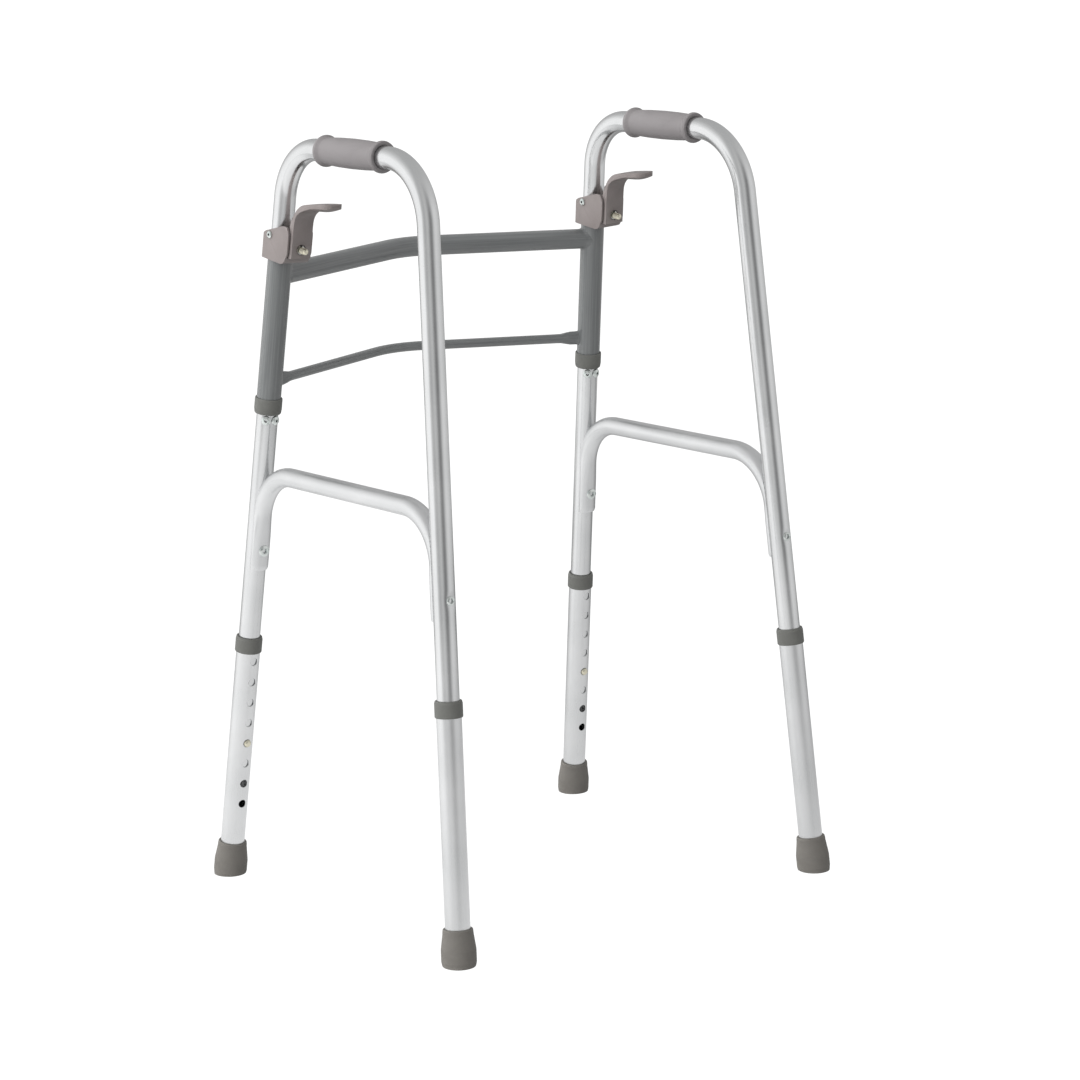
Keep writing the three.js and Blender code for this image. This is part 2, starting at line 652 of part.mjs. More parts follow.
// The lower bar's ends are pressed flat; lengths are from the sleeve axis
const LOWER_BAR_TUBE_START = 38;
const FLAT_START = 2;
const FLAT_STOP = 21;
const FLAT_OUTSIDE = {
  tallHalf: 8.2, thinHalf: 2.6, radius: LOWER_BAR.radius * 0.955, roundAt: 38.6,
};
const FLAT_INSIDE = {
  tallHalf: 6.8, thinHalf: 1.1, radius: (LOWER_BAR.radius - LOWER_BAR.wall) * 0.8, roundAt: 39.6,
};

const barEnd = (sign, height) => axisAt.front(height).applyMatrix4(sideMatrix(sign));
const barStations = (endV, corner) =>
  rounded([barEnd(1, endV), corner, barEnd(-1, endV)], [[BAR_BEND_R, 6]]);

// The bend cuts inside its corner, so the corner is moved until the bend meets the middle
function barCorner({ endV, middle }) {
  const corner = middle.clone();
  for (let k = 0; k < 4; k++) {
    const stations = barStations(endV, corner);
    corner.add(middle).sub(stations[Math.floor(stations.length / 2)].point);
  }
  return corner;
}

const sleeveClear = (sign) => placed(
  rod(EXT_R + CAP_GAP, 540, 800, TUBE_SIDES),
  sideMatrix(sign).multiply(legMatrix.front),
);

function makeUpperBar() {
  const { radius, wall, endV } = UPPER_BAR;
  const stations = barStations(endV, barCorner(UPPER_BAR));
  const tube = sweep(stations, { radius, sides: 18, bore: radius - wall, boreSides: 10 });
  return cut(tube, sleeveClear(1), sleeveClear(-1));
}

function flatEnd(sign, corner, { tallHalf, thinHalf, radius, roundAt }) {
  const end = barEnd(sign, LOWER_BAR.endV);
  const along = corner.clone().sub(end).normalize();
  const beside = new THREE.Vector3().crossVectors(along, vector(0, 0, 1)).normalize();
  const up = new THREE.Vector3().crossVectors(beside, along).normalize();
  const section = (length, points) => points.map(([x, y]) => end.clone()
    .addScaledVector(along, length).addScaledVector(beside, x).addScaledVector(up, y));
  const chamfer = thinHalf * 0.5;
  const shoulder = tallHalf - chamfer;
  const flat = (length) => section(length, [
    [-thinHalf, -shoulder], [-chamfer, -tallHalf], [chamfer, -tallHalf], [thinHalf, -shoulder],
    [thinHalf, shoulder], [chamfer, tallHalf], [-chamfer, tallHalf], [-thinHalf, shoulder],
  ]);
  const round = section(roundAt, ringPoints(radius, 12).map(({ x, y }) => [x, y]));
  return join(
    solid(new ConvexGeometry([...round, ...flat(FLAT_STOP)])),
    solid(new ConvexGeometry([...flat(FLAT_START), ...flat(FLAT_STOP + 0.01)])),
  );
}

function makeLowerBar() {
  const { radius, wall, endV } = LOWER_BAR;
  const corner = barCorner(LOWER_BAR);
  const stations = barStations(endV, corner);
  const first = stations[0];
  const last = stations[stations.length - 1];
  first.point.addScaledVector(first.direction, LOWER_BAR_TUBE_START);
  last.point.addScaledVector(last.direction, -LOWER_BAR_TUBE_START);
  const flatEnds = (size) => [flatEnd(1, corner, size), flatEnd(-1, corner, size)];
  return cut(
    join(sweep(stations, { radius, sides: 12 }), ...flatEnds(FLAT_OUTSIDE)),
    sweep(stations, { radius: radius - wall, sides: 8 }),
    ...flatEnds(FLAT_INSIDE),
    sleeveClear(1), sleeveClear(-1),
  );
}

// ---------------------------------------------------------------- assembly
function groupAt(matrix) {
  const group = new THREE.Group();
  group.applyMatrix4(matrix);
  return group;
}

function makeLowerLeg(side, sign, leg) {
  const name = `${side}_${leg}`;
  return [
    mesh(`${name}_leg_extension`, makeExtension(leg), ALUMINIUM),
    mesh(`${name}_leg_collar`, makeLegCollar(leg), GREY_PLASTIC),
    mesh(`${name}_tip`, makeTip(leg, sign), TIP_RUBBER),
    mesh(`${name}_tip_washer`, makeTipWasher(), ZINC),
    mesh(`${name}_snap_button`, makeSnapButton(leg), BRASSY),
    mesh(`${name}_button_spring`, makeButtonSpring(leg), SPRING_STEEL),
  ];
}

function makeSideFrame(side, sign) {
  const frame = groupAt(sideMatrix(sign));
  const front = groupAt(legMatrix.front);
  const rear = groupAt(legMatrix.rear);
  frame.add(
    front,
    rear,
    mesh(`${side}_frame_tube`, makeFrameTube(), ALUMINIUM),
    mesh(`${side}_grip`, makeGrip(), GRIP_VINYL),
    mesh(`${side}_brace`, makeBrace(), ALUMINIUM),
  );
  for (const [leg, sizes] of Object.entries(BRACE_RIVET)) {
    frame.add(mesh(`${side}_brace_rivet_${leg}`, makeBraceRivet(leg, sizes), ZINC));
  }
  for (const [place, angle] of Object.entries(STOP_RIVET_ANGLES)) {
    frame.add(mesh(`${side}_sleeve_rivet_${place}`, makeStopRivet(angle), ZINC));
  }
  front.add(
    mesh(`${side}_latch_housing`, makeHousing(), LATCH_PLASTIC),
    mesh(`${side}_latch_rivet`, makeLatchRivet(), ZINC),
    mesh(`${side}_release_lever`, makeLever(), LATCH_PLASTIC),
    mesh(`${side}_lock_pin`, makeLockPin(), BRASSY),
    mesh(`${side}_lock_pin_clip`, makeClip(), SPRING_STEEL),
    mesh(`${side}_lock_spring`, makeLockSpring(), SPRING_STEEL),
    mesh(`${side}_sleeve`, makeSleeve(), GREY_PAINT),
    mesh(`${side}_sleeve_collar`, makeSleeveCollar(), GREY_PLASTIC),
    ...makeLowerLeg(side, sign, 'front'),
  );
  rear.add(...makeLowerLeg(side, sign, 'rear'));
  return frame;
}

const walker = new THREE.Group();
walker.name = 'walking_frame';
walker.add(
  mesh('upper_crossbar', makeUpperBar(), GREY_PAINT),
  mesh('lower_crossbar', makeLowerBar(), GREY_PAINT),
  makeSideFrame('left', -1),
  makeSideFrame('right', 1),
);

export default walker;
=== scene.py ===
import json
import math

import bmesh
import bpy
from mathutils import Matrix, Vector


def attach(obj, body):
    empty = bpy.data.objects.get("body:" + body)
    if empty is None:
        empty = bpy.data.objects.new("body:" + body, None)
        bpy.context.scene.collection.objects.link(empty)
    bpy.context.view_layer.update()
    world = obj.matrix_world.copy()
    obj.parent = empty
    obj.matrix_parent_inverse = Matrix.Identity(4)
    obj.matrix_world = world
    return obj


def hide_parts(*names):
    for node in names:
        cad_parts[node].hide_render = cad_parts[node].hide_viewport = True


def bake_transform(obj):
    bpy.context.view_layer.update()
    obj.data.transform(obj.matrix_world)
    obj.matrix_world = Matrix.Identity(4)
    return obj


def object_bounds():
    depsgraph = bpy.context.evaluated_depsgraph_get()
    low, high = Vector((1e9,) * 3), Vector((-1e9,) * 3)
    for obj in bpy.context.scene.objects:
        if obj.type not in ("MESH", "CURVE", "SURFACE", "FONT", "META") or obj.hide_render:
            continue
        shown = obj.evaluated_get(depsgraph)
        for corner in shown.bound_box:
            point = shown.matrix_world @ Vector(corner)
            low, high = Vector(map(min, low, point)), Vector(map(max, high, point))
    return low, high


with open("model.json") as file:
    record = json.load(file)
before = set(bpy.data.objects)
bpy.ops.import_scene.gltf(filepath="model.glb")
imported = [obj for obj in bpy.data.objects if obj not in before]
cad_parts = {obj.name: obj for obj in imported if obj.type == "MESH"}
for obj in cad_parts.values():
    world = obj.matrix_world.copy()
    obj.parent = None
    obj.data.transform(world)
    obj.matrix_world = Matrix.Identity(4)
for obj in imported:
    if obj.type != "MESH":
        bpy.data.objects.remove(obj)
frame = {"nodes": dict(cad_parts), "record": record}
cad_lo, cad_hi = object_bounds()
NODES = frame["nodes"]
SLOT = {part["node"]: part["material_slot"] for part in frame["record"]["subparts"]}
BODY = {
    node: body
    for body, nodes in frame["record"]["behaviour"]["bodies"].items()
    for node in nodes
}

MM = 0.001
DEG = math.pi / 180

# ------------------------------------------------------------------ dimensions, millimetres
FOOT_HALF_WIDTH = 262.5
FOOT_DEPTH = 456.3
FRONT_FOOT_Y = FOOT_DEPTH / 2
SIDE_LEAN = 2.66 * DEG
LEAN = {"front": 7.92 * DEG, "rear": 5.01 * DEG}

# bent tube of a side frame, and its grip
TUBE_R, TUBE_WALL, TUBE_MOUTH_DEPTH = 12.5, 1.4, 26.0
HANDLE_Z = 870.6
HANDLE_BENDS = (64.0, 75.0)
INNER_END_BELOW_BUTTON = 38.0
GRIP_FRONT_Y, GRIP_REAR_Y = -191.0, -303.5
GRIP_HALF = (GRIP_FRONT_Y - GRIP_REAR_Y) / 2

# leg extensions with their row of holes, collars, snap buttons and tips
EXT_R, EXT_BORE_R, EXT_FOOT = 14.0, 12.85, 8.6
COLLAR_BORE_R = 14.15
RING_TOP = {"front": 298.6, "rear": 293.0}
RING_HEIGHT, RING_R = 18.6, 15.7
HOLE_PITCH, HOLE_COUNT, BUTTON_HOLE = 25.4, 8, 4
FIRST_HOLE_DROP, HOLE_R, BUTTON_R = 28.2, 4.75, 4.3
TIP_R, TIP_TOP_R, TIP_HEIGHT, TIP_SOCKET_FLOOR = 19.6, 16.3, 41.0, 6.2

# brace between the legs; its ends are pressed to a crescent round the leg
BRACE_R, BRACE_Z = 11.0, 494.3
BRACE_BENDS = (61.0, 64.0)
BRACE_END = {"front": 383.0, "rear": 379.0}
BRACE_OFFSET = 6.0                      # path's distance from the leg axis
BRACE_PRESSED, BRACE_SWELL = 36.0, 34.0  # fully pressed length, then the change back to round
BRACE_PRESS_R, BRACE_PRESS_ANGLE = 16.0, 62.0
BRACE_RIVET = {"front": 407.2, "rear": 402.6}
BRACE_SEGMENTS = 48

# sleeve round the front leg, its collar and rivets
SLEEVE_BOTTOM, SLEEVE_TOP = 573.0, 775.3
COLLAR_BOTTOM, COLLAR_TOP, COLLAR_R = 569.0, 587.6, 15.9
STOP_RIVET_Z = 562.8
STOP_RIVET_ANGLES = {"outer": -39.5, "back": 14.5}   # degrees from straight back

# crossbars: ends at end_z of the side frames, middle given from the front feet
UPPER_BAR = dict(radius=12.0, end_z=724.4, middle_y=-32.7, middle_z=728.4)
LOWER_BAR = dict(radius=5.6, end_z=600.5, middle_y=-5.9, middle_z=604.2)
BAR_BEND_R = 105.0
BAR_SEGMENTS = 56
LOWER_FLAT = (8.2, 2.7)                 # half height and half depth of its flattened ends
# weld shape: (distance past the sleeve's wall, share of the weld's thickness)
WELD_STEPS = ((-0.6, 1.0), (0.35, 0.75), (1.0, 0.35), (2.0, 0.08), (3.2, 0.0))

# latch at the sleeve's top
PIN_Z, PIN_R, PIVOT_RIVET_Z = 769.0, 3.7, 779.0
LATCH_HALF_W, CHEEK_IN = 16.8, 14.6
LEVER_HALF_W, LEVER_BACK = 13.2, -40.3


# ------------------------------------------------------------------ placing
def move(x=0.0, y=0.0, z=0.0):
    return Matrix.Translation((x, y, z))


def turn(angle, axis):
    return Matrix.Rotation(angle, 4, axis)


SIDE = {s: move(s * FOOT_HALF_WIDTH, FRONT_FOOT_Y) @ turn(-s * SIDE_LEAN, "Y") for s in (-1, 1)}
LEG = {"front": turn(LEAN["front"], "X"), "rear": move(0, -FOOT_DEPTH) @ turn(-LEAN["rear"], "X")}
MID = {"front": -1, "rear": 1}          # y direction from a leg to the side frame's middle
ROW = Matrix.Identity(4)                # the whole frame's own coordinates
ALONG_X = turn(math.pi / 2, "Y")        # these three turn a piece's z axis
ALONG_BACK = turn(math.pi / 2, "X")
ALONG_FRONT = turn(-math.pi / 2, "X")
TO_MID = {"front": ALONG_BACK, "rear": ALONG_FRONT}


def leg_point(leg, z, y=0.0):
    """Side frame coordinates of a point on a leg."""
    return LEG[leg] @ Vector((0, y, z))


def leg_axis_point(leg, z):
    """Point of a leg's axis at a height of the side frame."""
    if leg == "front":
        return Vector((0, -math.tan(LEAN["front"]) * z, z))
    return Vector((0, -FOOT_DEPTH + math.tan(LEAN["rear"]) * z, z))


def hole_z(leg, index):
    return RING_TOP[leg] - FIRST_HOLE_DROP - HOLE_PITCH * index


BUTTON_Z = {leg: hole_z(leg, BUTTON_HOLE) for leg in LEG}


# ------------------------------------------------------------------ shader helpers
class Graph:
    """Short hand for a node tree; values may be constants or sockets to link."""

    def __init__(self, owner):
        owner.use_nodes = True
        self.tree = owner.node_tree
        self.tree.nodes.clear()

    def put(self, socket, value):
        if isinstance(value, bpy.types.NodeSocket):
            self.tree.links.new(value, socket)
        elif socket.type == "RGBA" and len(value) == 3:
            socket.default_value = (*value, 1.0)
        else:
            socket.default_value = value

    def node(self, kind, inputs=None, **settings):
        node = self.tree.nodes.new("ShaderNode" + kind)
        for key, value in settings.items():
            setattr(node, key, value)
        for key, value in (inputs or {}).items():
            self.put(node.inputs[key], value)
        return node

    def out(self, kind, inputs=None, output=0, **settings):
        return self.node(kind, inputs, **settings).outputs[output]

    def remap(self, value, take, give=(0.0, 1.0), **settings):
        inputs = {"Value": value, "From Min": take[0], "From Max": take[1],
                  "To Min": give[0], "To Max": give[1]}
        return self.out("MapRange", inputs, **settings)

    def math(self, operation, a, b):
        return self.out("Math", {0: a, 1: b}, operation=operation)

    def times(self, a, b):
        return self.math("MULTIPLY", a, b)

    def plus(self, a, b):
        return self.math("ADD", a, b)

    def mix(self, share, under, over):
        return self.out("Mix", {0: share, 6: under, 7: over}, output=2, data_type="RGBA")


class Surface(Graph):
    """A procedural material laid out in millimetres."""

    def __init__(self, name, coords):
        self.material = bpy.data.materials.new(name)
        super().__init__(self.material)
        if coords == "loc":
            self.coords = self.out("Attribute", output="Vector", attribute_name="loc")
        else:
            place = self.out("TexCoord", output="Object")
            self.coords = self.out("VectorMath", {0: place, "Scale": 1000.0}, operation="SCALE")

    def scaled(self, scale):
        return self.out("VectorMath", {0: self.coords, 1: scale}, operation="MULTIPLY")

    def noise(self, scale, detail=3.0, rough=0.55, distort=0.0):
        inputs = {"Vector": self.scaled(scale), "Scale": 1.0, "Detail": detail,
                  "Roughness": rough, "Distortion": distort}
        return self.out("TexNoise", inputs, output="Fac")

    def voronoi(self, scale, feature="F1"):
        inputs = {"Vector": self.scaled(scale), "Scale": 1.0}
        return self.out("TexVoronoi", inputs, output="Distance", feature=feature)

    def tint(self, colour, mask, strength, over):
        return self.mix(self.times(mask, strength), colour, over)

    def bump(self, height, strength, distance, below=None):
        inputs = {"Strength": strength, "Distance": distance, "Height": height}
        if below is not None:
            inputs["Normal"] = below
        return self.out("Bump", inputs)

    def edges(self, take):
        """Mask of outward corners."""
        return self.remap(self.out("NewGeometry", output="Pointiness"), take=take)

    def scratches(self, cells, patch_x, width, keep):
        """Sparse fine scratches: stretched cells, kept only in a few places."""
        distance = self.voronoi(scale=cells, feature="DISTANCE_TO_EDGE")
        line = self.remap(distance, take=(0.0, width), give=(1.0, 0.0))
        patches = self.noise(scale=(patch_x, 0.021, 0.017), detail=2.0)
        return self.times(line, self.remap(patches, take=(keep, keep + 0.09)))

    def finish(self, colour, rough, normal, metallic=0.0, coat=0.0, coat_rough=0.2,
               ior=1.5, specular=0.5):
        shader = self.out("BsdfPrincipled", {
            "Base Color": colour, "Roughness": rough, "Metallic": metallic, "IOR": ior,
            "Coat Weight": coat, "Coat Roughness": coat_rough,
            "Specular IOR Level": specular, "Normal": normal})
        self.node("OutputMaterial", {0: shader})
        return self.material


# ------------------------------------------------------------------ materials
def anodised(name, coords, satin):
    """Bare metal tube: lines along the tube, soft clouds, sparse scratches."""
    m = Surface(name, coords)
    lines = m.noise(scale=(3.2, 3.2, 0.012), detail=5.0, rough=0.7)
    fine = m.noise(scale=(9.0, 9.0, 0.05), rough=0.6)
    cloud = m.noise(scale=(0.02, 0.02, 0.012))
    marks = m.scratches(cells=(0.05, 0.06, 0.22), patch_x=0.02, width=0.012, keep=0.6)
    colour = m.mix(m.remap(cloud, take=(0.35, 0.7)),
                   under=(0.80, 0.81, 0.815), over=(0.90, 0.905, 0.91))
    colour = m.tint(colour, m.remap(lines, take=(0.35, 0.65)),
                    strength=0.22, over=(0.72, 0.73, 0.74))
    colour = m.tint(colour, marks, strength=0.3, over=(0.55, 0.56, 0.57))
    base = 0.29 if satin else 0.19
    rough = m.plus(m.remap(cloud, take=(0.3, 0.7), give=(base - 0.03, base + 0.04)),
                   m.remap(fine, take=(0.3, 0.7), give=(-0.02, 0.05)))
    rough = m.plus(rough, m.times(marks, 0.12))
    normal = m.bump(lines, strength=0.10, distance=0.00006)
    normal = m.bump(fine, strength=0.08, distance=0.00003, below=normal)
    return m.finish(colour, rough, normal, metallic=1.0)


def paint(name, coords):
    """Glossy dark paint; the draw lines of the tube show through it as bumps, and lighter colour
    streaks along them are painted highlight streaks.
    """
    m = Surface(name, coords)
    peel = m.noise(scale=(0.55, 0.55, 0.55), detail=2.0, rough=0.5)
    grain = m.noise(scale=(4.0, 4.0, 4.0), detail=2.0)
    cloud = m.noise(scale=(0.015, 0.015, 0.01))
    lines = m.noise(scale=(0.75, 0.75, 0.006), rough=0.65)
    marks = m.scratches(cells=(0.07, 0.08, 0.16), patch_x=0.024, width=0.014, keep=0.57)
    colour = m.mix(m.remap(cloud, take=(0.3, 0.7)),
                   under=(0.112, 0.119, 0.121), over=(0.136, 0.144, 0.145))
    colour = m.tint(colour, m.remap(grain, take=(0.62, 0.75)),
                    strength=0.3, over=(0.20, 0.21, 0.215))
    colour = m.tint(colour, marks, strength=0.55, over=(0.26, 0.27, 0.27))
    colour = m.tint(colour, m.edges((0.53, 0.62)), strength=0.35, over=(0.30, 0.31, 0.31))
    # painted highlight streaks: the colour is lighter along the tube's length where the streak
    # noise is high
    colour = m.tint(colour, m.remap(lines, take=(0.42, 0.62)),
                    strength=0.65, over=(0.178, 0.186, 0.185))
    rough = m.plus(m.remap(cloud, take=(0.3, 0.7), give=(0.36, 0.46)),
                   m.remap(grain, take=(0.3, 0.7), give=(-0.03, 0.05)))
    normal = m.bump(lines, strength=0.6, distance=0.00022)
    normal = m.bump(peel, strength=0.22, distance=0.00012, below=normal)
    normal = m.bump(grain, strength=0.10, distance=0.00003, below=normal)
    return m.finish(colour, rough, normal, coat=1.0, coat_rough=0.11, ior=1.6)


def moulded(name, coords, dark, light, worn, rough, grain_scale, grain_height=0.00005,
            strength=0.3, specular=0.45, flow=(0.03, 0.03, 0.03)):
    """Grained plastic or rubber, dusty in specks and paler along its edges."""
    m = Surface(name, coords)
    grain = m.noise(scale=(grain_scale,) * 3, rough=0.6)
    pebble = m.voronoi(scale=(grain_scale * 0.55,) * 3)
    cloud = m.noise(scale=flow, detail=4.0, distort=0.6)
    dust = m.noise(scale=(0.35, 0.35, 0.35), detail=5.0, rough=0.7)
    colour = m.mix(m.remap(cloud, take=(0.3, 0.7)), under=dark, over=light)
    colour = m.tint(colour, m.remap(dust, take=(0.58, 0.72)), strength=0.12, over=worn)
    colour = m.tint(colour, m.edges((0.52, 0.60)), strength=0.3, over=worn)
    roughness = m.plus(m.remap(cloud, take=(0.3, 0.7), give=(rough - 0.05, rough + 0.06)),
                       m.remap(grain, take=(0.3, 0.7), give=(-0.04, 0.05)))
    normal = m.bump(pebble, strength=strength * 0.5, distance=grain_height)
    normal = m.bump(grain, strength=strength, distance=grain_height, below=normal)
    return m.finish(colour, roughness, normal, specular=specular)


def plated(name, coords, tint, warm, rough):
    """Turned, plated metal, darkened towards black in its hollows as painted shade."""
    m = Surface(name, coords)
    turned = m.noise(scale=(1.2, 1.2, 7.0), rough=0.6)
    cloud = m.noise(scale=(0.25, 0.25, 0.25))
    hollow = m.out("AmbientOcclusion", {"Distance": 0.004}, output="AO", samples=6)
    # painted shade: the colour goes near black where ambient occlusion finds a hollow, such as a
    # rivet's bore; the same mask roughens it
    hollow_shade = m.remap(hollow, take=(0.22, 0.60), give=(1.0, 0.0))
    colour = m.mix(m.remap(cloud, take=(0.35, 0.65)), under=tint, over=warm)
    colour = m.tint(colour, m.remap(turned, take=(0.55, 0.75)),
                    strength=0.25, over=(0.42, 0.42, 0.40))
    colour = m.mix(hollow_shade, under=colour, over=(0.03, 0.045, 0.045))
    roughness = m.plus(m.remap(turned, take=(0.3, 0.7), give=(rough - 0.05, rough + 0.1)),
                       m.times(hollow_shade, 0.3))
    normal = m.bump(turned, strength=0.12, distance=0.00004)
    return m.finish(colour, roughness, normal, metallic=1.0)


MOULDED = {
    "collar_plastic": dict(
        dark=(0.122, 0.124, 0.114), light=(0.150, 0.152, 0.141), worn=(0.24, 0.24, 0.23),
        rough=0.42, grain_scale=2.6),
    "latch_plastic": dict(
        dark=(0.206, 0.180, 0.174), light=(0.244, 0.215, 0.209), worn=(0.34, 0.31, 0.30),
        rough=0.38, grain_scale=3.0, grain_height=0.00004, strength=0.22),
    "grip_vinyl": dict(
        dark=(0.196, 0.182, 0.185), light=(0.228, 0.214, 0.217), worn=(0.32, 0.305, 0.31),
        rough=0.42, grain_scale=1.9, grain_height=0.00006, strength=0.35, specular=0.6,
        flow=(0.03, 0.03, 0.02)),
    "tip_rubber": dict(
        dark=(0.150, 0.141, 0.128), light=(0.190, 0.180, 0.165), worn=(0.27, 0.26, 0.24),
        rough=0.62, grain_scale=1.4, grain_height=0.00010, strength=0.4, specular=0.35),
}
PLATED = {
    "zinc_rivet": dict(tint=(0.76, 0.83, 0.81), warm=(0.86, 0.89, 0.87), rough=0.22),
    "plated_pin": dict(tint=(0.80, 0.76, 0.60), warm=(0.86, 0.82, 0.68), rough=0.24),
}
OTHER_METAL = dict(tint=(0.62, 0.62, 0.59), warm=(0.76, 0.75, 0.71), rough=0.26)
MATERIALS = {}


def material(slot, coords="loc", satin=False):
    name = slot + ("_satin" if satin else "") + ("" if coords == "loc" else "_object")
    if name not in MATERIALS:
        if slot == "anodised_tube":
            made = anodised(name, coords, satin)
        elif slot == "grey_paint":
            made = paint(name, coords)
        elif slot in MOULDED:
            made = moulded(name, coords, **MOULDED[slot])
        else:
            made = plated(name, coords, **PLATED.get(slot, OTHER_METAL))
        MATERIALS[name] = made
    return MATERIALS[name]


# ------------------------------------------------------------------ mesh helpers
def edit(me, change):
    """Runs change(bm) on a mesh."""
    bm = bmesh.new()
    bm.from_mesh(me)
    change(bm)
    bm.to_mesh(me)
    bm.free()


def new_mesh(name, points, faces):
    me = bpy.data.meshes.new(name)
    me.from_pydata([tuple(p) for p in points], [], faces)
    edit(me, lambda bm: bmesh.ops.recalc_face_normals(bm, faces=bm.faces))
    return me


def keep_coords(me, coords):
    """Stores the coordinates that the materials are laid out in."""
    attribute = me.attributes.new("loc", "FLOAT_VECTOR", "POINT")
    attribute.data.foreach_set("vector", [c for p in coords for c in p])


def shade_smooth(me, sharp):
    me.polygons.foreach_set("use_smooth", [True] * len(me.polygons))
    me.set_sharp_from_angle(angle=sharp * DEG)
    me.update()


class Build:
    """Points, faces and straightened surface coordinates of one piece."""

    def __init__(self):
        self.points, self.faces, self.straight = [], [], []

    def add(self, point, straight=None):
        self.points.append(Vector(point))
        self.straight.append(Vector(point if straight is None else straight))
        return len(self.points) - 1

    def ring(self, points, straight=None):
        return [self.add(p, straight[i] if straight else None) for i, p in enumerate(points)]

    def fan(self, ring, centre):
        for i, point in enumerate(ring):
            self.faces.append((point, ring[(i + 1) % len(ring)], centre))

    def bridge(self, a, b):
        """Joins two closed rings; either may be a single point."""
        if len(a) == 1:
            self.fan(b, a[0])
        elif len(b) == 1:
            self.fan(a, b[0])
        else:
            for i in range(len(a)):
                j = (i + 1) % len(a)
                self.faces.append((a[i], a[j], b[j], b[i]))

    def skin(self, rings):
        for a, b in zip(rings, rings[1:]):
            self.bridge(a, b)

    def skin_capped(self, rings):
        self.skin(rings)
        self.faces += [tuple(rings[0]), tuple(reversed(rings[-1]))]

    def raw(self, matrix=ROW):
        """Mesh in millimetres, for further cutting."""
        return new_mesh("raw", [matrix @ p for p in self.points], self.faces)

    def mesh(self, name, matrix, sharp):
        """Finished mesh in metres."""
        me = new_mesh(name, [(matrix @ p) * MM for p in self.points], self.faces)
        keep_coords(me, self.straight)
        shade_smooth(me, sharp)
        return me


def placed_mesh(me, name, matrix, sharp):
    """A copy of a local millimetre mesh, moved into place, in metres."""
    out = me.copy()
    out.name = name
    keep_coords(out, [v.co for v in out.vertices])
    out.transform(matrix)
    out.transform(Matrix.Scale(MM, 4))
    shade_smooth(out, sharp)
    return out


def new_object(name, data):
    obj = bpy.data.objects.new(name, data)
    bpy.context.scene.collection.objects.link(obj)
    return obj


def evaluated_mesh(obj):
    depsgraph = bpy.context.evaluated_depsgraph_get()
    depsgraph.update()
    return bpy.data.meshes.new_from_object(obj.evaluated_get(depsgraph))


def boolean(me, other, operation="DIFFERENCE"):
    objects = new_object("op_a", me), new_object("op_b", other)
    modifier = objects[0].modifiers.new("cut", "BOOLEAN")
    modifier.object = objects[1]
    modifier.operation = operation
    modifier.solver = "EXACT"
    out = evaluated_mesh(objects[0])
    for obj in objects:
        bpy.data.objects.remove(obj)
    return out


def bevelled(me, width, segments, angle):
    """The mesh with its edges sharper than angle, in degrees, rounded."""
    def clean(bm):
        bmesh.ops.remove_doubles(bm, verts=bm.verts, dist=1e-3)
        bmesh.ops.dissolve_limit(bm, angle_limit=1.0 * DEG, verts=bm.verts, edges=bm.edges)

    obj = new_object("op_bevel", me)
    edit(me, clean)
    modifier = obj.modifiers.new("round", "BEVEL")
    modifier.width = width
    modifier.segments = segments
    modifier.limit_method = "ANGLE"
    modifier.angle_limit = angle * DEG
    out = evaluated_mesh(obj)
    bpy.data.objects.remove(obj)
    return out


def smooth(t):
    t = max(0.0, min(1.0, t))
    return t * t * (3 - 2 * t)


def arc(centre_a, centre_b, radius, start, end, steps):
    """Points of an arc; angles in degrees."""
    angles = [(start + (end - start) * i / steps) * DEG for i in range(steps + 1)]
    return [(centre_a + radius * math.cos(a), centre_b + radius * math.sin(a)) for a in angles]


def fillet(points, closed=False, steps=4):
    """Rounds the corners of a polyline. Points are (a, b) or (a, b, corner radius)."""
    out = []
    n = len(points)
    for i, point in enumerate(points):
        corner = Vector(point[:2])
        radius = point[2] if len(point) > 2 else 0.0
        if radius <= 0 or (not closed and i in (0, n - 1)):
            out.append(tuple(corner))
            continue
        back = Vector(points[i - 1][:2]) - corner
        ahead = Vector(points[(i + 1) % n][:2]) - corner
        back_length, ahead_length = back.length, ahead.length
        back /= back_length
        ahead /= ahead_length
        bend = math.pi - back.angle(ahead)
        if bend < 0.02:
            out.append(tuple(corner))
            continue
        cut = min(radius * math.tan(bend / 2), back_length * 0.48, ahead_length * 0.48)
        start, end = corner + back * cut, corner + ahead * cut
        for k in range(steps + 1):
            t = k / steps
            out.append(tuple(start * (1 - t) ** 2 + corner * 2 * t * (1 - t) + end * t * t))
    return out


def soften(points, times):
    """Cuts every corner of an outline at its quarter points, except the first and last."""
    for _ in range(times):
        out = [points[0]]
        for before, point, after in zip(points, points[1:], points[2:]):
            corner = Vector(point)
            out.append(tuple(corner.lerp(Vector(before), 0.25)))
            out.append(tuple(corner.lerp(Vector(after), 0.25)))
        points = out + [points[-1]]
    return points


def lathe(profile, segments=56, corner_steps=4):
    """A turned solid about z from points (radius, z) or (radius, z, corner radius).

    The profile runs from axis to axis, or else is closed by its own first point.
    """
    solid = profile[0][0] == 0
    b = Build()
    rings = []
    for radius, z in fillet(profile, closed=not solid, steps=corner_steps):
        if radius == 0:
            rings.append([b.add((0, 0, z))])
        else:
            angles = [2 * math.pi * i / segments for i in range(segments)]
            rings.append(b.ring([(radius * math.cos(a), radius * math.sin(a), z)
                                 for a in angles]))
    b.skin(rings)
    if not solid:
        b.bridge(rings[-1], rings[0])
    return b


def cylinder(radius, low, high, segments):
    return lathe([(0, low), (radius, low), (radius, high), (0, high)], segments)


